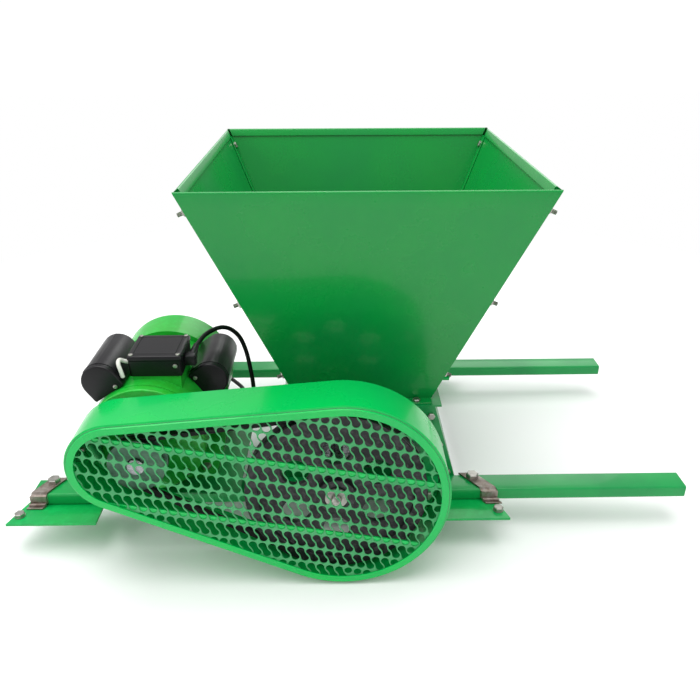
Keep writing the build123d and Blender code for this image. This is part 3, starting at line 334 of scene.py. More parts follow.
def metal(name, colour, other, low=0.25, high=0.45, stretch=(40, 300, 300), stain=None, worn=0.0, bump=0.08):
    """Bare, plated or drawn steel and alloy."""
    material, tree, shader = start_material(name, metallic=1.0)
    drift = use_group(tree, DRIFT, colour=linear(*colour), other=linear(*other), scale=45.0, amount=1.0)
    result = drift.outputs["Colour"]
    if stain:
        patches = use_group(tree, DRIFT, colour=result, other=linear(*stain), scale=130.0, amount=0.9)
        result = patches.outputs["Colour"]
    tree.links.new(result, shader.inputs["Base Color"])
    drawn = use_group(tree, BRUSH, stretch=stretch, low=low, high=high)
    tree.links.new(drawn.outputs["Roughness"], shader.inputs["Roughness"])
    add_bump(tree, shader, drawn.outputs["Height"], bump, 0.0003)
    return material


def cast(name, colour, other, metallic=0.0, roughness=0.5, grain=900.0, bump=0.35, worn=0.5, bare=(140, 142, 140)):
    """Cast metal with its sand-mould grain, painted or blackened, and bright where it is rubbed."""
    material, tree, shader = start_material(name, metallic=metallic)
    drift = use_group(tree, DRIFT, colour=linear(*colour), other=linear(*other), scale=22.0, amount=0.9)
    rub = use_group(tree, RUB, scale=120.0, amount=worn)
    mix = put(tree, "ShaderNodeMix", {"Factor": rub.outputs["Mask"], 6: drift.outputs["Colour"], 7: linear(*bare)},
              data_type="RGBA")
    tree.links.new(mix.outputs[2], shader.inputs["Base Color"])
    rough = put(tree, "ShaderNodeMapRange", {"Value": drift.outputs["Mask"], "To Min": roughness - 0.08,
                                             "To Max": roughness + 0.1})
    tree.links.new(rough.outputs["Result"], shader.inputs["Roughness"])
    skin = use_group(tree, PEEL, scale=grain, waves=60.0, wave_height=0.6)
    add_bump(tree, shader, skin.outputs["Height"], bump, 0.0004)
    return material


def moulded(name, colour, other, roughness=0.35, grain=1400.0, bump=0.2, worn=0.15, bare=(95, 93, 96)):
    """Moulded plastic or rubber: near one colour, a fine grain, and greyer where it is handled."""
    material, tree, shader = start_material(name, specular_ior_level=0.3)
    drift = use_group(tree, DRIFT, colour=linear(*colour), other=linear(*other), scale=30.0, amount=0.7)
    rub = use_group(tree, RUB, scale=200.0, amount=worn)
    mix = put(tree, "ShaderNodeMix", {"Factor": rub.outputs["Mask"], 6: drift.outputs["Colour"], 7: linear(*bare)},
              data_type="RGBA")
    tree.links.new(mix.outputs[2], shader.inputs["Base Color"])
    rough = put(tree, "ShaderNodeMapRange", {"Value": drift.outputs["Mask"], "To Min": roughness,
                                             "To Max": roughness + 0.12})
    tree.links.new(rough.outputs["Result"], shader.inputs["Roughness"])
    skin = use_group(tree, PEEL, scale=grain, waves=25.0, wave_height=0.8)
    add_bump(tree, shader, skin.outputs["Height"], bump, 0.0002)
    return material


# %% The machine's own finishes, one for each slot of the record
finishes = {
    "rail_paint": enamel("rail_enamel", (0, 150, 70), (0, 126, 64)),
    "foot_paint": enamel("foot_enamel", (0, 162, 72), (0, 146, 80)),
    "body_paint": enamel("body_enamel", (0, 142, 64), (0, 118, 60)),
    "hopper_paint": enamel("hopper_enamel", (0, 140, 54), (0, 128, 58), roughness=0.24, waves=3.5, wave_height=18.0),
    "guard_paint": enamel("guard_enamel", (0, 184, 78), (0, 172, 84), roughness=0.22, worn=0.6),
    "grille_paint": enamel("grille_enamel", (66, 158, 98), (30, 136, 72), roughness=0.45, worn=0.9),
    "motor_paint": enamel("motor_enamel", (0, 172, 52), (44, 164, 40), roughness=0.32),
    "strap_steel": metal("strap_steel", (178, 170, 164), (142, 134, 128), low=0.4, high=0.65, stain=(122, 106, 96),
                         bump=0.3),
    "zinc_plate": metal("zinc_plate", (186, 184, 178), (150, 148, 142), low=0.28, high=0.5),
    "shaft_steel": metal("shaft_steel", (176, 178, 180), (140, 142, 146), low=0.2, high=0.35),
    "gear_steel": metal("gear_steel", (132, 134, 138), (96, 98, 104), low=0.3, high=0.5, stain=(66, 56, 44)),
    "roller_aluminium": metal("roller_aluminium", (196, 198, 202), (166, 168, 172), low=0.3, high=0.5, bump=0.15),
    "pulley_metal": metal("pulley_metal", (92, 124, 104), (66, 96, 80), low=0.3, high=0.5),
    "lamination_steel": metal("lamination_steel", (96, 96, 100), (70, 66, 60), low=0.4, high=0.6,
                              stretch=(60, 1800, 60), bump=0.4),
    "cast_housing": cast("housing_paint", (16, 104, 58), (10, 84, 50)),
    "black_casting": cast("black_casting", (22, 22, 25), (36, 36, 40), roughness=0.4, worn=0.35),
    "belt_rubber": moulded("belt_rubber", (18, 18, 19), (34, 33, 33), roughness=0.6, grain=2400.0, bump=0.5),
    "black_plastic": moulded("black_plastic", (12, 11, 14), (22, 20, 25), roughness=0.3),
    "fan_plastic": moulded("fan_plastic", (24, 24, 25), (34, 34, 35), roughness=0.45),
    "cord_rubber": moulded("cord_rubber", (16, 16, 17), (26, 26, 28), roughness=0.45, grain=3000.0, bump=0.3),
    "lead_white": moulded("lead_white", (226, 226, 220), (196, 196, 186), roughness=0.4, bare=(150, 148, 140)),
}
print(len(finishes), "finishes")

# %% [markdown]
# ## Three ways to make a piece
# 1. `skin` bridges a row of closed rings. A tube, a bent sheet carried round a loop and a turned part are all rows
#    of rings, so most of the machine's sheet and tube comes from it.
# 2. `rolled` takes a copy of a frame node, merges its triangles, and rolls its sharp edges over. It suits plates,
#    castings and gears, whose shape is right already.
# 3. Geometry Nodes set out what repeats: the grille's holes, and every bolt, nut and washer.

# %% Placing a finished mesh
def add_object(name, mesh):
    piece = bpy.data.objects.new(name, mesh)
    bpy.context.scene.collection.objects.link(piece)
    return piece


def place_piece(piece, body, slot, *replaced):
    """Gives a piece the finish of its slot, sets it in its body, and hides the frame nodes that it stands for."""
    if not piece.data.materials:
        piece.data.materials.append(finishes[slot])
    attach(piece, body)
    if replaced:
        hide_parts(*replaced)
    return piece


def shade(mesh, angle=32.0):
    """Smooth shading that stays crisp where two faces meet at more than an angle."""
    mesh.shade_smooth()
    mesh.set_sharp_from_angle(angle=math.radians(angle))


def to_mesh(piece, name):
    """The evaluated shape of an object as a plain mesh, which takes its place."""
    bpy.context.view_layer.update()
    mesh = bpy.data.meshes.new_from_object(piece.evaluated_get(bpy.context.evaluated_depsgraph_get()))
    bpy.data.objects.remove(piece)
    return add_object(name, mesh)


# %% skin: rings bridged into a surface
def ring_faces(rings, count, start, wrap, caps):
    """Faces between neighbouring rings, as corner numbers."""
    faces = []
    last = rings if wrap else rings - 1
    for row in range(last):
        near = start + row * count
        far = start + (row + 1) % rings * count
        for k in range(count):
            after = (k + 1) % count
            faces.append((near + k, near + after, far + after, far + k))
    if caps:
        faces.append(tuple(start + k for k in reversed(range(count))))
        faces.append(tuple(start + (rings - 1) * count + k for k in range(count)))
    return faces


def skin_mesh(name, shells, wrap=False, caps=True, angle=32.0):
    """One mesh from several shells. A shell is a list of rings, and a ring a list of points in millimetres."""
    points = []
    faces = []
    for rings in shells:
        faces += ring_faces(len(rings), len(rings[0]), len(points), wrap, caps and not wrap)
        points += [point for ring in rings for point in ring]
    mesh = bpy.data.meshes.new(name)
    mesh.from_pydata([tuple(c * MM for c in point) for point in points], [], faces)
    shape = bmesh.new()
    shape.from_mesh(mesh)
    bmesh.ops.recalc_face_normals(shape, faces=shape.faces)
    shape.to_mesh(mesh)
    shape.free()
    shade(mesh, angle)
    return mesh


def skin(name, shells, body, slot, *replaced, wrap=False, caps=True, angle=32.0):
    return place_piece(add_object(name, skin_mesh(name, shells, wrap, caps, angle)), body, slot, *replaced)


# %% rolled: a frame node with its edges rolled over
ROLL_ANGLE = math.radians(28)


def merged(*names):
    """A merged, flattened copy of frame nodes as an editable mesh."""
    shape = bmesh.new()
    for name in names:
        shape.from_mesh(nodes[name].data)
    bmesh.ops.remove_doubles(shape, verts=shape.verts, dist=1e-6)
    bmesh.ops.dissolve_limit(shape, angle_limit=math.radians(0.4), verts=shape.verts, edges=shape.edges)
    return shape


def roll_edges(shape, width, steps):
    """Rounds every sharp edge and marks the rounded strip with the edge attribute."""
    layer = shape.verts.layers.float.new("edge")
    sharp = [e for e in shape.edges if len(e.link_faces) == 2 and e.calc_face_angle(0) > ROLL_ANGLE]
    made = bmesh.ops.bevel(shape, geom=sharp, offset=width * MM, offset_type="OFFSET", segments=steps, profile=0.5,
                           affect="EDGES", clamp_overlap=True)
    strip = set(made["faces"])
    for vert in {v for face in strip for v in face.verts}:
        outside = any(face not in strip for face in vert.link_faces)
        vert[layer] = 0.35 if outside else 1.0


def rolled(name, body, slot, node_names, width=0.5, steps=2):
    shape = merged(*node_names)
    roll_edges(shape, width, steps)
    mesh = bpy.data.meshes.new(name)
    shape.to_mesh(mesh)
    shape.free()
    shade(mesh, 40)
    piece = place_piece(add_object(name, mesh), body, slot, *node_names)
    even = piece.modifiers.new("even_normals", "WEIGHTED_NORMAL")
    even.keep_sharp = True
    return piece


# %% Outlines that several pieces share
def arc(centre, radius, start, end, count):
    """Points along an arc, both ends included, angles in degrees."""
    turns = [math.radians(start + (end - start) * k / count) for k in range(count + 1)]
    return [(centre[0] + radius * math.cos(t), centre[1] + radius * math.sin(t)) for t in turns]


def rounded_box(low, high, radius, steps=4):
    """A rectangle with round corners, anticlockwise."""
    (x0, y0), (x1, y1) = low, high
    corners = (((x1 - radius, y0 + radius), -90), ((x1 - radius, y1 - radius), 0),
               ((x0 + radius, y1 - radius), 90), ((x0 + radius, y0 + radius), 180))
    return [point for centre, start in corners for point in arc(centre, radius, start, start + 90, steps)]


def round_corners(points, radius, steps=4):
    """An open line with each inner corner turned into an arc."""
    line = [Vector(point) for point in points]
    made = [line[0]]
    for before, here, after in zip(line, line[1:], line[2:]):
        first = (before - here).normalized()
        second = (after - here).normalized()
        half = first.angle(second) / 2
        reach = radius / math.tan(half)
        centre = here + (first + second).normalized() * (radius / math.sin(half))
        start = here + first * reach - centre
        end = here + second * reach - centre
        for k in range(steps + 1):
            made.append(centre + start.slerp(end, k / steps) if k % steps else centre + (start, end)[k // steps])
    return made + [line[-1]]


def bent_sheet(points, radius, thickness, steps=4):
    """The closed section of a bent sheet whose middle line is given, with softened cut edges."""
    line = round_corners(points, radius, steps)
    half = thickness / 2
    sides = []
    for side in (1, -1):
        edge = []
        for k, point in enumerate(line):
            along = (line[min(k + 1, len(line) - 1)] - line[max(k - 1, 0)]).normalized()
            edge.append(point + Vector((-along.y, along.x)) * half * side)
        sides.append(edge)
    left, right = sides
    nose = []
    for here, other, back in ((left[-1], right[-1], line[-2]), (right[0], left[0], line[1])):
        out = ((here + other) / 2 - back).normalized() * half * 0.4
        nose.append([here.lerp(other, 0.15) + out, other.lerp(here, 0.15) + out])
    return left + nose[0] + right[::-1] + nose[1]


print("helpers ready")

# %% [markdown]
# ## Rails and cross tubes
# Drawn rectangular tube has rounded corners and a hollow that shows at the sawn ends. Each tube is one closed row of
# rings: along the outside, over the sawn end, back along the inside.

# %% Rails and cross tubes
RAIL_WALL = 2.0
RAIL_CORNER = 3.2
SAWN_EDGE = 0.5


def low_high(node):
    """A node's lowest and highest corners in millimetres."""
    low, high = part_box(node)
    return low / MM, high / MM


def tube_shell(low, high, along, wall, corner):
    """Rings for one rectangular tube that runs along an axis, 0 for X and 1 for Y."""
    across = 1 - along
    box_low = (low[across], low[2])
    box_high = (high[across], high[2])

    def ring_at(place, inset):
        outline = rounded_box([c + inset for c in box_low], [c - inset for c in box_high], max(corner - inset, 0.6))
        return [(place, a, z) if along == 0 else (a, place, z) for a, z in outline]

    start, end = low[along], high[along]
    return [ring_at(start + SAWN_EDGE, 0), ring_at(end - SAWN_EDGE, 0), ring_at(end, SAWN_EDGE),
            ring_at(end, wall), ring_at(start, wall), ring_at(start, SAWN_EDGE)]


for side in ("front", "rear"):
    node = f"rail_{side}"
    shell = tube_shell(*low_high(node), 0, RAIL_WALL, RAIL_CORNER)
    skin(f"{node}_tube", [shell], "frame", "rail_paint", node, wrap=True)

CROSS_TUBE = 25.0
low, high = low_high("cross_tubes")
tubes = []
for x in (low.x, high.x - CROSS_TUBE):
    tubes.append(tube_shell(Vector((x, low.y, low.z)), Vector((x + CROSS_TUBE, high.y, high.z)), 1, 2.0, 2.6))
skin("cross_tube_pair", tubes, "frame", "body_paint", "cross_tubes", wrap=True)

# %% [markdown]
# ## Plates, panels, castings and gears
# These come from the frame with their edges rolled over. The width of the roll is what tells sheet from casting:
# half a millimetre on a sheared plate, more than one on cast iron.

# %% Plates, panels, castings and gears
ROLLED = (
    ("front_left_foot", "frame", "foot_paint", ["foot_front_left"], 0.6),
    ("front_right_foot", "frame", "foot_paint", ["foot_front_right"], 0.6),
    ("rear_left_foot", "frame", "foot_paint", ["foot_rear_left"], 0.6),
    ("rear_right_foot", "frame", "foot_paint", ["foot_rear_right"], 0.6),
    ("front_body_panel", "frame", "body_paint", ["body_front_panel"], 0.5),
    ("rear_body_panel", "frame", "body_paint", ["body_rear_panel"], 0.5),
    ("left_body_panel", "frame", "body_paint", ["body_left_panel"], 0.5),
    ("right_body_panel", "frame", "body_paint", ["body_right_panel"], 0.5),
    ("hopper_seat_plate", "frame", "body_paint", ["body_top_plate"], 0.5),
    ("motor_plate", "frame", "body_paint", ["motor_base_plate"], 0.5),
    ("guard_holders", "frame", "body_paint", ["guard_brackets"], 0.5),
    ("guard_stiffeners", "frame", "guard_paint", ["guard_bars"], 0.5),
    ("gear_box_cover", "frame", "body_paint", ["gear_cover"], 0.9),
    ("flange_bearings", "frame", "cast_housing", ["bearing_housings"], 1.8),
    ("bearing_races", "frame", "shaft_steel", ["bearing_inserts"], 0.6),
    ("motor_races", "frame", "shaft_steel", ["motor_bearings"], 0.5),
    ("motor_core", "frame", "lamination_steel", ["motor_stator"], 0.4),
    ("motor_cylinder", "frame", "motor_paint", ["motor_housing"], 1.0),
    ("motor_front_end", "frame", "motor_paint", ["motor_front_shield"], 2.2),
    ("motor_rear_end", "frame", "motor_paint", ["motor_rear_shield"], 1.6),
    ("fan_cover", "frame", "motor_paint", ["motor_cowl"], 0.9),
    ("belt", "frame", "belt_rubber", ["v_belt"], 0.5),
    ("drive_roller_body", "drive_roller_set", "roller_aluminium", ["drive_roller"], 1.2),
    ("drive_shaft_bar", "drive_roller_set", "shaft_steel", ["drive_shaft"], 0.8),
    ("drive_gear_wheel", "drive_roller_set", "gear_steel", ["drive_gear"], 0.5),
    ("large_pulley", "drive_roller_set", "black_casting", ["drive_pulley"], 1.0),
    ("driven_roller_body", "driven_roller_set", "roller_aluminium", ["driven_roller"], 1.2),
    ("driven_shaft_bar", "driven_roller_set", "shaft_steel", ["driven_shaft"], 0.8),
    ("driven_gear_wheel", "driven_roller_set", "gear_steel", ["driven_gear"], 0.5),
    ("rotor_core", "motor_rotor_set", "lamination_steel", ["motor_rotor"], 0.4),
    ("rotor_shaft", "motor_rotor_set", "shaft_steel", ["motor_shaft"], 0.8),
    ("cooling_fan", "motor_rotor_set", "fan_plastic", ["motor_fan"], 0.5),
    ("small_pulley", "motor_rotor_set", "pulley_metal", ["motor_pulley"], 0.8),
)
for name, body, slot, names, width in ROLLED:
    piece = rolled(name, body, slot, names, width)
    print(name, len(piece.data.polygons), "faces")

# %% [markdown]
# ## The pulley guard
# One strip of sheet is carried round the two pulleys, with a wide lip turned in at the front, where the grille is
# spot welded, and a narrow one at the back that stiffens it. Its section is the same all the way round, so it is
# drawn once and carried along the loop.

# %% The guard's loop and band
GUARD_SHEET = 2.0
GUARD_LIP = 13.0
GUARD_REAR_LIP = 5.0
GUARD_BEND = 3.2
LARGE_RADIUS = 147.5
SMALL_RADIUS = 69.0
SMALL_HEIGHT = 152.7

guard_low, guard_high = low_high("guard_band")
large_circle = (guard_high.x - LARGE_RADIUS, guard_low.z + LARGE_RADIUS, LARGE_RADIUS)
small_circle = (guard_low.x + SMALL_RADIUS, SMALL_HEIGHT, SMALL_RADIUS)


def guard_stations(large_steps=80, small_steps=44, straight_steps=14):
    """Points (x, z) on the guard's outer loop, each with its outward direction."""
    (x1, z1, r1), (x2, z2, r2) = small_circle, large_circle
    along = math.atan2(z2 - z1, x2 - x1)
    spread = math.acos((r1 - r2) / math.hypot(x2 - x1, z2 - z1))
    stations = []
    for (x, z, r), start, end, steps in ((large_circle, along + spread, along - spread, large_steps),
                                         (small_circle, along - spread, along + spread - 2 * math.pi, small_steps)):
        for k in range(steps + 1):
            turn = start + (end - start) * k / steps
            out = Vector((math.cos(turn), math.sin(turn)))
            stations.append((Vector((x, z)) + out * r, out))
    corner = len(stations) - (small_steps + 1)
    (a, out_a), (b, out_b) = stations[corner - 1], stations[corner]
    bottom = [(a.lerp(b, k / straight_steps), out_a) for k in range(1, straight_steps)]
    (c, out_c), (d, _) = stations[-1], stations[0]
    top = [(c.lerp(d, k / straight_steps), out_c) for k in range(1, straight_steps)]
    return stations[:corner] + bottom + stations[corner:] + top


def carry(section, stations):
    """Rings of a section of (inset, y) points carried round stations."""
    return [[(point.x - out.x * inset, y, point.y - out.y * inset) for inset, y in section]
            for point, out in stations]


middle = GUARD_SHEET / 2
guard_section = bent_sheet([(GUARD_LIP, guard_low.y + middle), (middle, guard_low.y + middle),
                            (middle, guard_high.y - middle), (GUARD_REAR_LIP, guard_high.y - middle)],
                           GUARD_BEND, GUARD_SHEET, 5)
skin("guard_strip", [carry(guard_section, guard_stations())], "frame", "guard_paint", "guard_band", wrap=True)
print("guard loop", [round(c, 1) for c in (*large_circle, *small_circle)])

# %% [markdown]
# ## The grille
# The sheet behind the lip is punched with slots of two round lobes joined by a narrower waist, set in sloping rows.
# A Geometry Nodes tree sets a slot on every point, joins the slots to the sheet's outline, fills between them and
# gives the sheet its thickness. The slots stay separate from the rule that places them, so either can change alone.

# %% Slot outline and slot places
SLOT_LOBE = 5.6
SLOT_STEP = Vector((6.0, -14.0))
SLOT_WAIST = 4.2
SLOT_PITCH = 13.5
SLOT_ROW = 25.6
SLOT_SHIFT = 5.4
SLOT_EDGE = 1.0
GRILLE_SHEET = 1.5


def slot_outline(steps=7):
    """Two round lobes joined by a waist, about the middle of the pair, in millimetres."""
    half = SLOT_STEP.length / 2
    blend = (half ** 2 + SLOT_WAIST ** 2 - SLOT_LOBE ** 2) / (2 * (SLOT_LOBE - SLOT_WAIST))
    lean = math.degrees(math.atan2(SLOT_WAIST + blend, half))
    points = arc((half, 0), SLOT_LOBE, lean - 180, 180 - lean, 2 * steps)
    points += arc((0, SLOT_WAIST + blend), blend, -lean, lean - 180, 4)[1:-1]
    points += arc((-half, 0), SLOT_LOBE, lean, 360 - lean, 2 * steps)
    points += arc((0, -SLOT_WAIST - blend), blend, 180 - lean, lean, 4)[1:-1]
    turn = Matrix.Rotation(math.atan2(SLOT_STEP.y, SLOT_STEP.x), 2)
    return [turn @ Vector(point) for point in points]


def inside_guard(point, margin, steps=40):
    """Whether a point lies inside the guard's loop by a margin."""
    (x1, z1, r1), (x2, z2, r2) = small_circle, large_circle
    for k in range(steps + 1):
        share = k / steps
        centre = Vector((x1, z1)).lerp(Vector((x2, z2)), share)
        if (point - centre).length < r1 + share * (r2 - r1) - margin:
            return True
    return False


def slot_places():
    """Middles of the slots in sloping rows, and of round holes where only one lobe of a slot fits."""
    (x1, z1, _), (x2, z2, r2) = small_circle, large_circle
    along = Vector((x2 - x1, z2 - z1)).normalized()
    across = Vector((-along.y, along.x))
    margin = GUARD_SHEET + SLOT_LOBE + SLOT_EDGE
    rows = int(2 * r2 / SLOT_ROW) + 2
    columns = int(700 / SLOT_PITCH)
    pairs, singles = [], []
    for row in range(-rows, rows):
        for column in range(-columns, columns):
            shift = column * SLOT_PITCH + row % 2 * SLOT_SHIFT
            centre = Vector((x2, z2)) + along * shift + across * row * SLOT_ROW
            lobes = [centre + SLOT_STEP * s / 2 for s in (-1, 1)]
            fitting = [lobe for lobe in lobes if inside_guard(lobe, margin)]
            if len(fitting) == 2:
                pairs.append(centre)
            else:
                singles += fitting
    return pairs, singles


# %% The tree that punches a sheet
def wire_object(name, loops):
    """A mesh of edges only: closed loops of (x, z) points in millimetres, at y 0."""
    points, edges = [], []
    for loop in loops:
        start = len(points)
        points += [(x * MM, 0.0, z * MM) for x, z in loop]
        edges += [(start + k, start + (k + 1) % len(loop)) for k in range(len(loop))]
    mesh = bpy.data.meshes.new(name)
    mesh.from_pydata(points, edges, [])
    return add_object(name, mesh)


def make_punch_tree():
    group, enter, leave = new_group("punched_sheet", "GeometryNodeTree", [
        ("Geometry", "NodeSocketGeometry", None), ("Slot", "NodeSocketObject", None),
        ("Hole Points", "NodeSocketObject", None), ("Hole", "NodeSocketObject", None),
        ("Outline", "NodeSocketObject", None), ("Front", "NodeSocketFloat", 0.0),
        ("Thickness", "NodeSocketFloat", 0.0015), ("Material", "NodeSocketMaterial", None)],
        [("Geometry", "NodeSocketGeometry")])
    out = enter.outputs
    slot, points, hole, outline = [put(group, "GeometryNodeObjectInfo", {"Object": out[name]}).outputs["Geometry"]
                                   for name in ("Slot", "Hole Points", "Hole", "Outline")]
    # Fill Curve works in the XY plane, so the sheet is filled lying down and stood up afterwards.
    lie = (math.pi / 2, 0, 0)
    both = put(group, "GeometryNodeJoinGeometry")
    for places, shape in ((out["Geometry"], slot), (points, hole)):
        set_out = put(group, "GeometryNodeInstanceOnPoints", {"Points": places, "Instance": shape})
        cuts = put(group, "GeometryNodeRealizeInstances", {"Geometry": set_out.outputs["Instances"]})
        group.links.new(cuts.outputs["Geometry"], both.inputs["Geometry"])
    group.links.new(outline, both.inputs["Geometry"])
    flat = put(group, "GeometryNodeTransform", {"Geometry": both.outputs["Geometry"], "Rotation": (-lie[0], 0, 0)})
    curve = put(group, "GeometryNodeMeshToCurve", {"Mesh": flat.outputs["Geometry"]})
    fill = put(group, "GeometryNodeFillCurve", {"Curve": curve.outputs["Curve"]})
    base = put(group, "GeometryNodeFlipFaces", {"Mesh": fill.outputs["Mesh"]})
    thick = put(group, "GeometryNodeExtrudeMesh", {"Mesh": fill.outputs["Mesh"], "Offset Scale": out["Thickness"],
                                                   "Individual": False})
    solid = put(group, "GeometryNodeJoinGeometry")
    group.links.new(base.outputs["Mesh"], solid.inputs["Geometry"])
    group.links.new(thick.outputs["Mesh"], solid.inputs["Geometry"])
    closed = put(group, "GeometryNodeMergeByDistance", {"Geometry": solid.outputs["Geometry"], "Distance": 1e-6})
    shift = put(group, "ShaderNodeCombineXYZ", {"Y": out["Front"]})
    stood = put(group, "GeometryNodeTransform", {"Geometry": closed.outputs["Geometry"], "Rotation": lie,
                                                 "Translation": shift.outputs["Vector"]})
    painted = put(group, "GeometryNodeSetMaterial", {"Geometry": stood.outputs["Geometry"],
                                                     "Material": out["Material"]})
    group.links.new(painted.outputs["Geometry"], leave.inputs["Geometry"])
    return group


def run_tree(piece, group, **values):
    """Puts a tree on an object, sets its inputs, and returns the result as a plain mesh object."""
    modifier = piece.modifiers.new(group.name, "NODES")
    modifier.node_group = group
    sockets = {item.name: item.identifier for item in group.interface.items_tree if item.in_out == "INPUT"}
    for label, value in values.items():
        modifier[sockets[label.replace("_", " ").title()]] = value
    name = piece.name
    piece.name = name + "_points"
    return to_mesh(piece, name)


# %% Punch the grille
def point_object(name, points):
    mesh = bpy.data.meshes.new(name)
    mesh.from_pydata([tuple(point) for point in points], [], [])
    return add_object(name, mesh)


def make_grille():
    high = low_high("guard_grille")[1]
    outline = [point - out * (GUARD_SHEET + 0.05) for point, out in guard_stations()]
    slot = wire_object("slot", [slot_outline()])
    sheet = wire_object("sheet_outline", [[(p.x, p.y) for p in outline]])
    hole = wire_object("hole", [arc((0, 0), SLOT_LOBE, 0, 360, 24)[:-1]])
    pairs, singles = slot_places()
    points = point_object("punched_grille", [(p.x * MM, 0, p.y * MM) for p in pairs])
    hole_points = point_object("hole_points", [(p.x * MM, 0, p.y * MM) for p in singles])
    grille = run_tree(points, make_punch_tree(), slot=slot, hole_points=hole_points, hole=hole, outline=sheet,
                      front=high.y * MM, thickness=GRILLE_SHEET * MM, material=finishes["grille_paint"])
    for helper in (slot, hole, hole_points, sheet):
        bpy.data.objects.remove(helper)
    shade(grille.data, 30)
    print("grille:", len(pairs), "slots,", len(singles), "holes,", len(grille.data.polygons), "faces, box",
          [round(c, 4) for c in (*grille.bound_box[0], *grille.bound_box[6])])
    return place_piece(grille, "frame", "grille_paint", "guard_grille")


make_grille()

# %% [markdown]
# ## The hopper
# Four panels of sheet meet at the corners. The front and rear panels carry everything that is folded: a foot that
# bolts to the body, a rim folded down inside, and a flange at each corner that the side panels bolt to. Sheet this
# wide is never quite flat, and enamel shows it, so each wall swells by a millimetre or two between its edges.

# %% Hopper sizes, read from the frame
HOPPER_SHEET = 2.0
HOPPER_FLANGE = 20.0
HOPPER_HEM = 12.0
HOPPER_FOOT = 16.0
HOPPER_BASE = (103.0, 166.0)
HOPPER_SWELL = 1.6

front_low, front_high = low_high("hopper_front_panel")
hopper_centre = (front_low.x + front_high.x) / 2
hopper_bottom, hopper_top = front_low.z, front_high.z
HOPPER_RIM = ((front_high.x - front_low.x) / 2, -front_low.y)


def hopper_half(z):
    """Half the hopper's outer width and depth at a height."""
    share = (z - hopper_bottom) / (hopper_top - hopper_bottom)
    return tuple(base + share * (rim - base) for base, rim in zip(HOPPER_BASE, HOPPER_RIM))


def split_long(points, longest=22.0):
    """The same closed line with its long stretches cut into shorter ones."""
    made = []
    for here, after in zip(points, points[1:] + points[:1]):
        parts = max(1, int((after - here).length / longest))
        made += [here.lerp(after, k / parts) for k in range(parts)]
    return made


def swell(across, z):
    """How far a wall swells outwards, from 0 at its edges."""
    share = min(max((z - hopper_bottom) / (hopper_top - hopper_bottom), 0.0), 1.0)
    hump = (1 - across ** 2) * math.sin(math.pi * share) ** 0.8
    return HOPPER_SWELL * hump * (0.8 + 0.35 * math.sin(3.1 * across + 1.1) * math.cos(4.4 * share))


# %% Hopper panels
def cross_wall(side):
    """A front or rear wall with its foot and its folded rim, as rings across the hopper."""
    half_z0, half_z1 = hopper_half(hopper_bottom)[1], hopper_half(hopper_top)[1]
    line = [(half_z0 + HOPPER_FOOT, hopper_bottom + 1), (half_z0 - 0.6, hopper_bottom + 1),
            (half_z1 - 1.2, hopper_top - 1), (half_z1 - 3.6, hopper_top - 1),
            (hopper_half(hopper_top - HOPPER_HEM)[1] - 3.5, hopper_top - HOPPER_HEM)]
    section = split_long(bent_sheet(line, 1.1, HOPPER_SHEET, 3))
    rings = []
    steps = 26
    for k in range(steps + 1):
        across = -1 + 2 * k / steps
        ring = []
        for y, z in section:
            half_x, half_y = hopper_half(z)
            inside = half_y - y
            reach = half_x
            if z < hopper_bottom + 2.5 and y > half_y + 1:
                reach = HOPPER_BASE[0]
            elif inside > 2.6:
                reach = half_x - 2 * HOPPER_SHEET - 0.6
            out = y + (swell(across, z) if y < half_y + 1 else 0)
            ring.append((hopper_centre + across * reach, side * out, z))
        rings.append(ring)
    return rings


def corner_flange(side, end):
    """The flange that a front or rear panel turns along a side panel, as rings up the corner."""
    rings = []
    for z in (hopper_bottom + 2.5, hopper_top - HOPPER_HEM - 1):
        half_x, half_y = hopper_half(z)
        x = sorted((end * (half_x - HOPPER_SHEET - 0.2), end * (half_x - 2 * HOPPER_SHEET - 0.2)))
        y = sorted((side * (half_y - 1.2), side * (half_y - HOPPER_FLANGE)))
        outline = rounded_box((x[0], y[0]), (x[1], y[1]), 0.7, 2)
        rings.append([(hopper_centre + a, b, z) for a, b in outline])
    return rings


def side_wall(end):
    """A left or right wall with its folded rim, as rings across its width."""
    half_z0, half_z1 = hopper_half(hopper_bottom)[0], hopper_half(hopper_top)[0]
    line = [(half_z0 - 1.1, hopper_bottom), (half_z1 - 1.2, hopper_top - 1), (half_z1 - 3.6, hopper_top - 1),
            (hopper_half(hopper_top - HOPPER_HEM)[0] - 3.5, hopper_top - HOPPER_HEM)]
    section = split_long(bent_sheet(line, 1.1, HOPPER_SHEET, 3))
    rings = []
    steps = 26
    for k in range(steps + 1):
        across = -1 + 2 * k / steps
        ring = []
        for x, z in section:
            half_x, half_y = hopper_half(z)
            reach = half_y - HOPPER_SHEET - (HOPPER_FLANGE if half_x - x > 2.6 else 0)
            ring.append((hopper_centre + end * (x + swell(across, z)), across * reach, z))
        rings.append(ring)
    return rings


for side_name, side in (("front", -1), ("rear", 1)):
    shells = [cross_wall(side), corner_flange(side, -1), corner_flange(side, 1)]
    skin(f"hopper_{side_name}_wall", shells, "frame", "hopper_paint", f"hopper_{side_name}_panel")
for side_name, end in (("left", -1), ("right", 1)):
    skin(f"hopper_{side_name}_wall", [side_wall(end)], "frame", "hopper_paint", f"hopper_{side_name}_panel")
print("hopper rim", [round(c) for c in HOPPER_RIM], "base", HOPPER_BASE)

# %% [markdown]
# ## Clamp straps
# Each rail is held down by a short strap of black steel, bent over the rail and down its side, with its toe on the
# foot. They are cut on the skew and were never painted, so they have gone brown.

# %% Clamp straps
STRAP_WIDTH = 25.0
STRAP_SHEET = 3.0
STRAP_TOE = 8.0
STRAP_BEND = 4.0
rail_low, rail_high = low_high("rail_rear")
straps_low, straps_high = low_high("clamp_straps")
STRAPS = ((-502.0, -20.0), (148.0, 29.0))


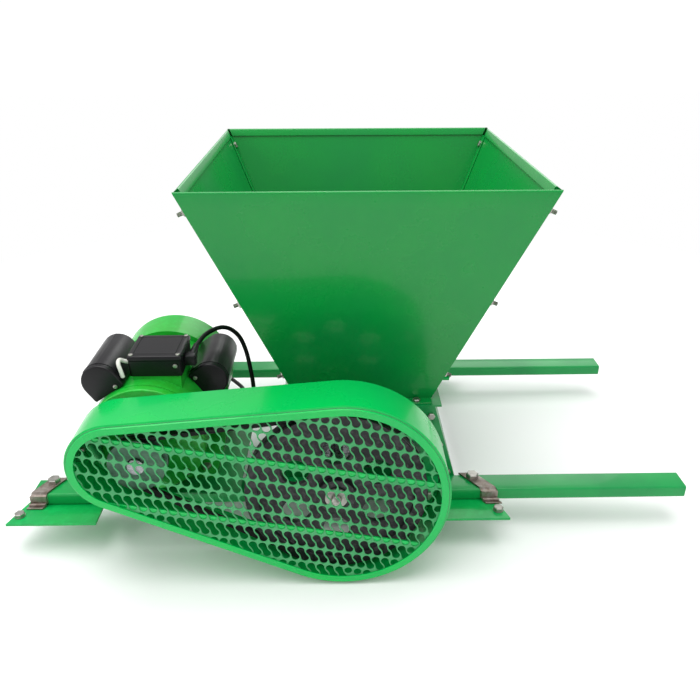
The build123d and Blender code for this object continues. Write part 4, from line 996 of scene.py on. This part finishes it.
def strap_rings(x, skew, side):
    """Rings across a strap's width, its section bent over the rail."""
    half = STRAP_SHEET / 2
    face = rail_high.y + half
    top = rail_high.z + half
    foot = rail_low.z + half
    line = [(rail_low.y, top), (face, top), (face, foot), (face + half + STRAP_TOE, foot)]
    section = bent_sheet(line, STRAP_BEND, STRAP_SHEET, 5)
    rings = []
    for across, pinch in ((0.0, 0.5), (0.02, 0.0), (0.98, 0.0), (1.0, 0.5)):
        middle_y = sum(p.x for p in section) / len(section)
        ring = []
        for y, z in section:
            share = min((y - rail_low.y) / (face - rail_low.y), 1.3)
            shrink = pinch * (0.5 if y > middle_y else -0.5)
            ring.append((x + skew * share + across * STRAP_WIDTH, side * (y - shrink), z))
        rings.append(ring)
    return rings


strap_shells = [strap_rings(x, skew, side) for side in (-1, 1) for x, skew in STRAPS]
skin("rail_clamps", strap_shells, "frame", "strap_steel", "clamp_straps")

# %% [markdown]
# ## Fasteners
# The frame has every bolt, nut and washer as a plain solid. Each is looked up there: its axis is the one direction
# about which all its corners lie at only a few distances. A Geometry Nodes tree then sets a finished fastener on
# every place found, with a chamfered hexagon head, a washer face and a threaded end.

# %% Find the fasteners
def islands(node):
    """The corner points of each separate solid of a node, in millimetres."""
    shape = bmesh.new()
    shape.from_mesh(nodes[node].data)
    bmesh.ops.remove_doubles(shape, verts=shape.verts, dist=1e-6)
    found, seen = [], set()
    for start in shape.verts:
        if start in seen:
            continue
        group, waiting = [], [start]
        seen.add(start)
        while waiting:
            vert = waiting.pop()
            group.append(vert.co / MM)
            for edge in vert.link_edges:
                other = edge.other_vert(vert)
                if other not in seen:
                    seen.add(other)
                    waiting.append(other)
        found.append(np.array(group))
    shape.free()
    return found


hopper_lean = (HOPPER_RIM[0] - HOPPER_BASE[0]) / (hopper_top - hopper_bottom)
AXES = [Vector(a) for a in ((1, 0, 0), (0, 1, 0), (0, 0, 1), (1, 0, -hopper_lean), (-1, 0, -hopper_lean))]


def measure(points):
    """A solid's axis, foot point, height and radii, as (axis, along, centre, radii)."""
    best = None
    for axis in AXES:
        axis = np.array(axis.normalized())
        side = np.cross(axis, (0, 1, 0) if abs(axis[1]) < 0.9 else (0, 0, 1))
        side /= np.linalg.norm(side)
        other = np.cross(axis, side)
        u, v, t = points @ side, points @ other, points @ axis
        mid_u, mid_v = (u.min() + u.max()) / 2, (v.min() + v.max()) / 2
        radii = np.hypot(u - mid_u, v - mid_v)
        kinds = len(np.unique(np.round(radii / 0.12)))
        if best is None or kinds < best[0]:
            best = (kinds, axis, t, side * mid_u + other * mid_v, radii)
    return best[1:]


def fasteners(node):
    """Heads, nuts and washers of a node, as (kind, place of the seat, outward axis, radius, height, shank)."""
    found = []
    for points in islands(node):
        axis, t, centre, radii = measure(points)
        widest = radii > radii.max() - 0.15
        low, high = t[widest].min(), t[widest].max()
        corners = len({tuple(np.round(p, 1)) for p in points[widest]})
        sign = 1 if t.max() - high < low - t.min() else -1
        seat = low if sign > 0 else high
        if t.min() > low - 0.05 and t.max() < high + 0.05:
            kind = "nut" if corners <= 12 else "washer"
            shank = 0.0
        else:
            kind = "bolt"
            shank = (low - t.min()) if sign > 0 else (t.max() - high)
        small = radii[radii < radii.max() - 0.3]
        bore = float(small.max()) if len(small) else 0.0
        found.append({"kind": kind, "at": centre + axis * seat, "axis": axis * sign, "radius": float(radii.max()),
                      "height": float(high - low), "shank": float(shank), "bore": bore})
    return found


# %% The tree that sets out fasteners
def make_fastener_tree():
    group, enter, leave = new_group("set_fasteners", "GeometryNodeTree", [
        ("Geometry", "NodeSocketGeometry", None), ("Corner Radius", "NodeSocketFloat", 0.006),
        ("Height", "NodeSocketFloat", 0.004), ("Sides", "NodeSocketInt", 6), ("Bore", "NodeSocketFloat", 0.003),
        ("Shank Length", "NodeSocketFloat", 0.01), ("Pitch", "NodeSocketFloat", 0.001),
        ("Chamfer", "NodeSocketFloat", 0.86), ("Material", "NodeSocketMaterial", None)],
        [("Geometry", "NodeSocketGeometry")])
    out = enter.outputs

    def maths(operation, *values):
        return put(group, "ShaderNodeMath", dict(enumerate(values)), operation=operation).outputs[0]

    # The head: a short prism whose top is drawn in, which stands in for the turned chamfer.
    lower = maths("MULTIPLY", out["Height"], 0.8)
    rise = maths("MULTIPLY", lower, 0.5)
    prism = put(group, "GeometryNodeMeshCylinder", {"Vertices": out["Sides"], "Side Segments": 1,
                                                    "Radius": out["Corner Radius"], "Depth": lower})
    up = put(group, "ShaderNodeCombineXYZ", {"Z": rise})
    stood = put(group, "GeometryNodeTransform", {"Geometry": prism.outputs["Mesh"], "Translation": up.outputs[0]})
    cap = maths("MULTIPLY", out["Height"], 0.2)
    top = put(group, "GeometryNodeExtrudeMesh", {"Mesh": stood.outputs["Geometry"], "Selection": prism.outputs["Top"],
                                                 "Offset Scale": cap})
    drawn = put(group, "GeometryNodeScaleElements", {"Geometry": top.outputs["Mesh"],
                                                     "Selection": top.outputs["Top"], "Scale": out["Chamfer"]})
    # The shank: a rod whose every second ring is drawn in, which leaves the ridges of a thread.
    turns = maths("DIVIDE", out["Shank Length"], out["Pitch"])
    rings = maths("MAXIMUM", maths("MULTIPLY", maths("ROUND", turns), 2.0), 2.0)
    rod = put(group, "GeometryNodeMeshCylinder", {"Vertices": 16, "Side Segments": rings, "Radius": out["Bore"],
                                                  "Depth": out["Shank Length"]})
    place = put(group, "GeometryNodeInputPosition").outputs["Position"]
    height = put(group, "ShaderNodeSeparateXYZ", {"Vector": place}).outputs["Z"]
    half_turn = maths("DIVIDE", out["Shank Length"], rings)
    step = maths("ROUND", maths("DIVIDE", maths("ADD", height, maths("MULTIPLY", out["Shank Length"], 0.5)), half_turn))
    odd = maths("MODULO", step, 2.0)
    draw = maths("SUBTRACT", 1.0, maths("MULTIPLY", odd, 0.13))
    scale = put(group, "ShaderNodeCombineXYZ", {"X": draw, "Y": draw, "Z": 1.0})
    ridged = put(group, "ShaderNodeVectorMath", {0: place, 1: scale.outputs[0]}, operation="MULTIPLY")
    threaded = put(group, "GeometryNodeSetPosition", {"Geometry": rod.outputs["Mesh"], "Position": ridged.outputs[0]})
    drop = put(group, "ShaderNodeCombineXYZ", {"Z": maths("MULTIPLY", out["Shank Length"], -0.5)})
    hung = put(group, "GeometryNodeTransform", {"Geometry": threaded.outputs["Geometry"],
                                                "Translation": drop.outputs[0]})
    whole = put(group, "GeometryNodeJoinGeometry")
    group.links.new(hung.outputs["Geometry"], whole.inputs["Geometry"])
    group.links.new(drawn.outputs["Geometry"], whole.inputs["Geometry"])
    axis = put(group, "GeometryNodeInputNamedAttribute", {"Name": "axis"}, data_type="FLOAT_VECTOR")
    turn = put(group, "FunctionNodeAlignRotationToVector", {"Vector": axis.outputs["Attribute"]}, axis="Z")
    set_out = put(group, "GeometryNodeInstanceOnPoints", {"Points": out["Geometry"],
                                                          "Instance": whole.outputs["Geometry"],
                                                          "Rotation": turn.outputs["Rotation"]})
    real = put(group, "GeometryNodeRealizeInstances", {"Geometry": set_out.outputs["Instances"]})
    painted = put(group, "GeometryNodeSetMaterial", {"Geometry": real.outputs["Geometry"],
                                                     "Material": out["Material"]})
    group.links.new(painted.outputs["Geometry"], leave.inputs["Geometry"])
    return group


FASTENER_TREE = make_fastener_tree()


def joined(pieces, name):
    """Several mesh objects as one, under a new name."""
    with bpy.context.temp_override(active_object=pieces[0], selected_editable_objects=pieces):
        bpy.ops.object.join()
    pieces[0].name = name
    return pieces[0]


def axis_points(name, places, axes):
    """An object of bare points, each with its axis as an attribute."""
    piece = point_object(name, [Vector(place) * MM for place in places])
    layer = piece.data.attributes.new("axis", "FLOAT_VECTOR", "POINT")
    layer.data.foreach_set("vector", np.array(axes, np.float32).ravel())
    return piece


def set_fasteners(name, node, body="frame", slot="zinc_plate"):
    """Every fastener of a node, made again with the tree and joined into one piece."""
    kinds = {}
    for item in fasteners(node):
        key = (item["kind"], round(item["radius"], 1), round(item["height"], 1), round(item["shank"], 1))
        kinds.setdefault(key, []).append(item)
    made = []
    for number, ((kind, radius, height, shank), items) in enumerate(sorted(kinds.items())):
        points = axis_points(f"{name}_{number}", [i["at"] for i in items], [i["axis"] for i in items])
        sides = 28 if kind == "washer" else 6
        bore = items[0]["bore"] if kind != "washer" else radius * 0.3
        length = shank if kind == "bolt" else 0.02
        made.append(run_tree(points, FASTENER_TREE, corner_radius=radius * MM, height=height * MM, sides=sides,
                             bore=max(bore, 0.5) * MM, shank_length=length * MM, pitch=1.0 * MM,
                             chamfer=0.97 if kind == "washer" else 0.84, material=finishes[slot]))
        print(name, kind, len(items), "radius", radius, "height", height, "shank", shank)
    piece = joined(made, name)
    shade(piece.data, 30)
    return place_piece(piece, body, slot, node)


for name, node in (("strap_screws", "strap_bolts"), ("foot_screws", "foot_bolts"), ("frame_screws", "frame_bolts"),
                   ("bearing_screws", "bearing_bolts"), ("cover_screws", "gear_cover_screws"),
                   ("hopper_screws", "hopper_bolts"), ("motor_screws", "motor_bolts"),
                   ("guard_screws", "guard_bolts")):
    set_fasteners(name, node)
set_fasteners("pulley_screw", "pulley_retainer", "drive_roller_set")

# %% [markdown]
# ## Capacitor covers
# A single-phase motor starts and runs on two capacitors, each in a black moulded cover that straddles the motor's
# shell. A cover is one section, a round top on two straight legs, taken along the motor. Its ends are closed by
# caps, and the joint shows as a fine raised ring. Raised parting lines run along it.

# %% Capacitor covers
CAP_RADIUS = 26.0
CAP_LENGTH = 112.0
CAP_SEAT = 21.0
CAP_ROUND = 2.6
CAP_RING_AT = 9.0
CAP_RING = 0.9
MOTOR_RADIUS = 84.0
SEAT_GAP = 0.3
CAPACITORS = ((-34.0, -246.0), (54.0, -193.0))

shaft_low, shaft_high = low_high("motor_shaft")
motor_axis = ((shaft_low.x + shaft_high.x) / 2, (shaft_low.z + shaft_high.z) / 2)


def cap_outline(inset):
    """A cover's section in millimetres: across the motor and out from its axis."""
    seat = MOTOR_RADIUS + SEAT_GAP
    centre = seat + CAP_SEAT
    radius = CAP_RADIUS - inset
    top = []
    for u, v in arc((0, centre), radius, 0, 180, 40):
        turn = math.degrees(math.atan2(v - centre, u))
        bump = 0.5 if min(abs(turn - 62), abs(turn - 118)) < 3 and inset < 0.1 else 0.0
        top.append((u * (1 + bump / radius), centre + (v - centre) * (1 + bump / radius)))
    legs = [(-radius, seat + 2.0), (-radius + 1.2, seat), (radius - 1.2, seat), (radius, seat + 2.0)]
    return top + legs


def turned_out(points, lean, y):
    """Section points leaned round the motor's axis and placed along it."""
    s, c = math.sin(math.radians(lean)), math.cos(math.radians(lean))
    return [(motor_axis[0] + v * s + u * c, y, motor_axis[1] + v * c - u * s) for u, v in points]


def cap_rings(lean, start):
    rings = []
    for along, inset in ((0.0, CAP_ROUND), (0.35, 1.4), (1.1, 0.5), (CAP_ROUND, 0.12),
                         (CAP_RING_AT, 0.12), (CAP_RING_AT + 0.2, -0.6), (CAP_RING_AT + 1.3, -0.6),
                         (CAP_RING_AT + 1.5, 0.0), (CAP_LENGTH - CAP_ROUND, 0.0), (CAP_LENGTH - 1.1, 0.5),
                         (CAP_LENGTH - 0.35, 1.4), (CAP_LENGTH, CAP_ROUND)):
        rings.append(turned_out(cap_outline(inset), lean, start + along))
    return rings


skin("capacitor_shells", [cap_rings(*place) for place in CAPACITORS], "frame", "black_plastic", "capacitor_covers",
     angle=40)

# %% [markdown]
# ## Terminal box
# A moulded box with a separate lid. The lid laps over the box by a hair, so a dark line shows between them, and four
# screws hold it down. One more, on a boss at the front corner, holds the earth wire.

# %% Terminal box and lid
BOX_CORNER = 4.0
BOX_DRAFT = 1.0
LID_LAP = 0.6


def rounded_ring(low, high, inset, z, corner=BOX_CORNER):
    outline = rounded_box((low.x + inset, low.y + inset), (high.x - inset, high.y - inset),
                          max(corner - inset, 0.8), 5)
    return [(x, y, z) for x, y in outline]


box_low, box_high = low_high("terminal_box")
lid_low, lid_high = low_high("terminal_lid")
box_rings = [rounded_ring(box_low, box_high, BOX_DRAFT + 0.5, box_low.z),
             rounded_ring(box_low, box_high, BOX_DRAFT, box_low.z + 0.8),
             rounded_ring(box_low, box_high, 0.5, box_high.z - 2.0),
             rounded_ring(box_low, box_high, 1.3, box_high.z - 1.6),
             rounded_ring(box_low, box_high, 1.3, box_high.z),
             rounded_ring(box_low, box_high, 3.5, box_high.z),
             rounded_ring(box_low, box_high, 3.5, box_low.z + 2.5)]
skin("connection_box", [box_rings], "frame", "black_plastic", "terminal_box")
lid_rings = [rounded_ring(lid_low, lid_high, 0.4, lid_low.z), rounded_ring(lid_low, lid_high, -LID_LAP, lid_low.z + 0.3),
             rounded_ring(lid_low, lid_high, -LID_LAP + 0.2, lid_high.z - 2.2),
             rounded_ring(lid_low, lid_high, 0.4, lid_high.z - 0.8), rounded_ring(lid_low, lid_high, 1.9, lid_high.z),
             rounded_ring(lid_low, lid_high, 7.0, lid_high.z), rounded_ring(lid_low, lid_high, 7.4, lid_high.z - 0.5),
             rounded_ring(lid_low, lid_high, 9.0, lid_high.z - 0.5),
             rounded_ring(lid_low, lid_high, 9.4, lid_high.z)]
skin("connection_lid", [lid_rings], "frame", "black_plastic", "terminal_lid")

# %% Small screws on the motor's plastics, with the fastener tree
SCREW_RADIUS = 3.1
SCREW_INSET = 5.0


def cap_point(place, u, v, along):
    """A point on a capacitor cover, in the frame."""
    lean, start = CAPACITORS[place]
    return turned_out([(u, v)], lean, start + along)[0]


screws = []
for x in (lid_low.x + SCREW_INSET, lid_high.x - SCREW_INSET):
    for y in (lid_low.y + SCREW_INSET, lid_high.y - SCREW_INSET):
        screws.append(((x, y, lid_high.z - 0.2), (0, 0, 1)))
screws.append(((box_high.x - 9.0, box_low.y - 0.1, box_high.z - 9.0), (0, -1, 0)))
screws.append((cap_point(0, 15.0, 88.5, 0.0), (0, -1, 0)))
screws.append((cap_point(1, -16.0, 90.0, 0.0), (0, -1, 0)))
points = axis_points("box_screws", [place for place, _ in screws], [axis for _, axis in screws])
box_screws = run_tree(points, FASTENER_TREE, corner_radius=SCREW_RADIUS * MM, height=1.8 * MM, sides=16,
                      bore=1.2 * MM, shank_length=2.0 * MM, pitch=1.0 * MM, chamfer=0.72,
                      material=finishes["zinc_plate"])
shade(box_screws.data, 35)
place_piece(box_screws, "frame", "zinc_plate")

# %% [markdown]
# ## Motor ends
# Four long bolts draw the motor's two ends on to its shell. Their heads show in lugs round the front end.

# %% Motor through bolts
LUG_CIRCLE = 74.0
motor_front = low_high("motor_front_shield")[0].y
lug_places, lug_axes = [], []
for turn in (45, 135, 225, 315):
    angle = math.radians(turn)
    lug_places.append((motor_axis[0] + LUG_CIRCLE * math.cos(angle), motor_front,
                       motor_axis[1] + LUG_CIRCLE * math.sin(angle)))
    lug_axes.append((0, -1, 0))
lugs = run_tree(axis_points("through_bolts", lug_places, lug_axes), FASTENER_TREE, corner_radius=5.8 * MM,
                height=3.8 * MM, sides=6, bore=2.5 * MM, shank_length=4.0 * MM, pitch=0.8 * MM, chamfer=0.84,
                material=finishes["zinc_plate"])
shade(lugs.data, 30)
place_piece(lugs, "frame", "zinc_plate")

# %% [markdown]
# ## Mains lead
# The lead leaves the box towards the back through a ribbed sleeve, goes over the right-hand capacitor, drops beside
# it, and runs back over the motor's plate to its coil. What isn't needed is wound in two layers and tied, and lies
# on the cross tubes with the plug on top. The route's points match the frame's; the curve takes out their corners.

# %% Route of the lead
LEAD_RADIUS = 3.5
ROUTE = [
    (-256.0, -184.0, 246.0), (-256.0, -154.0, 246.0), (-245.0, -124.0, 251.5), (-222.0, -101.0, 252.0),
    (-202.0, -92.0, 233.0), (-192.0, -91.0, 204.0), (-187.0, -93.0, 171.0), (-184.0, -91.0, 137.0),
    (-187.0, -83.0, 104.0), (-196.0, -63.0, 77.0), (-204.0, -32.0, 60.0), (-209.0, 8.0, 55.8),
    (-222.0, 48.0, 56.5), (-245.0, 82.0, 55.0), (-267.5, 113.4, 53.2),
]
COIL_RADII = (43.5, 36.5, 29.5, 29.5, 36.5, 43.5)
COIL_STEP = 20
COIL_START = -2
coil_low, coil_high = low_high("cord_coil")
coil_centre = Vector(((coil_low.x + coil_high.x) / 2, (coil_low.y + coil_high.y) / 2))
coil_floor = coil_low.z + LEAD_RADIUS


def ease(share):
    share = min(max(share, 0.0), 1.0)
    return share * share * (3 - 2 * share)


def coil_point(turned):
    """A point of the coil after a number of degrees: three turns inwards, then three outwards on top of them."""
    number = min(int(turned // 360), len(COIL_RADII) - 1)
    step = ease((turned - 360 * number - 290) / 70) if number + 1 < len(COIL_RADII) else 0.0
    after = COIL_RADII[min(number + 1, len(COIL_RADII) - 1)]
    radius = COIL_RADII[number] + step * (after - COIL_RADII[number])
    level = 0.0 if number < 2 else (step if number == 2 else 1.0)
    angle = math.radians(COIL_START + turned)
    gain = 1 / math.cos(math.radians(COIL_STEP / 2)) ** 0.5
    return (coil_centre.x + radius * gain * math.cos(angle), coil_centre.y + radius * gain * math.sin(angle),
            coil_floor + level * 2 * LEAD_RADIUS)


plug_low, plug_high = low_high("plug")
plug_axis = ((plug_low.y + plug_high.y) / 2, (plug_low.z + plug_high.z) / 2)
PLUG_SLEEVE = 22.0
turns_end = 360 * len(COIL_RADII) - 20
coil = [coil_point(t) for t in range(0, turns_end + 1, COIL_STEP)]
last = Vector(coil[-1])
rise = plug_axis[1] - last.z


def rise_point(angle, radius, share):
    turn = math.radians(angle)
    return (coil_centre.x + radius * math.cos(turn), coil_centre.y + radius * math.sin(turn), last.z + rise * share)


climb = [rise_point(-3, 44.0, 0.1), rise_point(18, 44.5, 0.3), rise_point(37, 44.5, 0.58),
         (plug_high.x + PLUG_SLEEVE + 3, plug_axis[0] - 1.2, last.z + rise * 0.88),
         (plug_high.x + PLUG_SLEEVE - 8, plug_axis[0], plug_axis[1]), (plug_high.x - 6, plug_axis[0], plug_axis[1])]


def smooth_lead(name, points, radius, resolution=6):
    """A round lead on a smooth curve through a list of points in millimetres."""
    data = bpy.data.curves.new(name, "CURVE")
    data.dimensions = "3D"
    data.bevel_depth = radius * MM
    data.bevel_resolution = 4
    data.resolution_u = resolution
    data.use_fill_caps = True
    spline = data.splines.new("NURBS")
    spline.points.add(len(points) - 1)
    for point, place in zip(spline.points, points):
        point.co = (*[c * MM for c in place], 1.0)
    spline.order_u = 3
    spline.use_endpoint_u = True
    return add_object(name, data)


lead = smooth_lead("mains_lead", ROUTE + coil + climb, LEAD_RADIUS)

# %% Sleeves, tie and plug
def ring_about(axis, centre, radius, place, steps=24):
    """A circle about an axis through a point, 0 for X, 1 for Y."""
    ring = []
    for k in range(steps):
        a, b = radius * math.cos(2 * math.pi * k / steps), radius * math.sin(2 * math.pi * k / steps)
        ring.append((place, centre[0] + a, centre[1] + b) if axis == 0 else (centre[0] + a, place, centre[1] + b))
    return ring


def sleeve_profile(length, wide, narrow, ribs):
    """Distances and radii of a ribbed, tapering sleeve."""
    profile = [(0.0, wide)]
    for k in range(ribs):
        start = length * (0.12 + 0.85 * k / ribs)
        pitch = 0.85 * length / ribs
        radius = wide + (narrow - wide) * (k + 0.5) / ribs
        profile += [(start, radius), (start + 0.45 * pitch, radius), (start + 0.52 * pitch, radius - 0.8),
                    (start + 0.9 * pitch, radius - 0.8)]
    return profile + [(length - 0.4, narrow), (length, narrow - 0.35)]


gland_low, gland_high = low_high("cord_gland")
exit_point = ROUTE[0]
sleeve_axis = (exit_point[0], exit_point[2])
gland_front = gland_low.y
NUT_LENGTH = 7.0
sleeve_start = exit_point[1] - 12.0
nut = [ring_about(1, sleeve_axis, r, sleeve_start + y, 6) for y, r in ((-NUT_LENGTH, 8.0), (-0.8, 8.6), (0.0, 7.6))]
sleeve = [ring_about(1, sleeve_axis, r, sleeve_start + y) for y, r in sleeve_profile(36.0, 6.4, 4.6, 6)]
gland_body = [[(x, y, z) for x, z in rounded_box((gland_low.x + inset, exit_point[2] - 8 + inset),
                                                 (exit_point[0] + 8 - inset, exit_point[2] + 8 - inset), 2.0)]
              for y, inset in ((gland_low.y, 1.0), (gland_low.y + 1.0, 0.0), (sleeve_start - NUT_LENGTH + 1, 0.0),
                               (sleeve_start - NUT_LENGTH + 2, 0.8))]
gland = skin("lead_sleeve", [gland_body, nut, sleeve], "frame", "black_plastic", "cord_gland", angle=40)

tie_at = math.radians(270)
tie_out = Vector((math.cos(tie_at), math.sin(tie_at)))
tie_rings = []
for width in (-3.0, -2.4, 2.4, 3.0):
    grow = 0.6 if abs(width) > 2.9 else 1.2
    outline = rounded_box((26.0 - grow, coil_low.z - grow), (47.0 + grow, coil_high.z + grow - 2.0), 4.0, 5)
    tie_rings.append([(coil_centre.x + tie_out.x * r - tie_out.y * width, coil_centre.y + tie_out.y * r
                       + tie_out.x * width, z) for r, z in outline])
inner = rounded_box((26.0, coil_low.z), (47.0, coil_high.z - 2.0), 3.4, 5)
for width in (3.0, -3.0):
    tie_rings.append([(coil_centre.x + tie_out.x * r - tie_out.y * width, coil_centre.y + tie_out.y * r
                       + tie_out.x * width, z) for r, z in inner])
tie = skin("coil_tie", [tie_rings], "frame", "black_plastic", wrap=True)

PLUG_BODY = ((0.0, 15.0), (0.6, 16.6), (2.0, 17.6), (9.0, 18.0), (12.0, 17.6), (13.0, 16.2), (16.0, 15.6),
             (18.0, 16.2), (21.0, 15.6), (23.0, 16.2), (26.0, 15.4), (28.0, 15.8), (34.0, 14.0), (38.5, 11.0),
             (41.0, 8.0), (42.0, 6.6))
PIN_RADIUS = 2.4
pin_length = plug_high.x - plug_low.x - PLUG_BODY[-1][0]
face_x = plug_low.x + pin_length
body = [ring_about(0, plug_axis, r, face_x + x, 32) for x, r in PLUG_BODY]
grip = [ring_about(0, plug_axis, r, plug_high.x + x - 0.5) for x, r in sleeve_profile(PLUG_SLEEVE, 6.4, 4.4, 4)]
plug_body = skin("mains_plug", [body, grip], "frame", "black_plastic", angle=40)
pins = []
for offset in (-9.5, 9.5):
    centre = (plug_axis[0] + offset, plug_axis[1])
    pins.append([ring_about(0, centre, r, face_x - x, 16) for x, r in ((-1.0, PIN_RADIUS), (17.4, PIN_RADIUS),
                                                                       (18.6, PIN_RADIUS - 0.6), (19.0, 1.0))])
plug_pins = skin("plug_pins", pins, "frame", "shaft_steel", "plug", angle=40)

lead.data.materials.append(finishes["cord_rubber"])
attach(lead, "frame")
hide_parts("power_cord", "cord_coil")

# %% [markdown]
# ## Capacitor lead
# A short white sleeve carries the capacitor's wires out of the box and round to the foot of the cover.

# %% Capacitor lead
wall = box_low.x
LEAD_POINTS = [(wall + 4.0, -221.0, 250.0), (wall - 6.0, -221.5, 251.0), (wall - 11.5, -227.0, 257.5),
               (wall - 11.5, -235.0, 254.0), (wall - 8.0, -238.0, 245.0), (wall - 6.5, -237.5, 234.5)]
short_lead = smooth_lead("capacitor_wire", LEAD_POINTS, 3.0)
short_lead.data.materials.append(finishes["lead_white"])
wire = to_mesh(short_lead, "capacitor_sleeve")
place_piece(wire, "frame", "lead_white", "capacitor_lead")
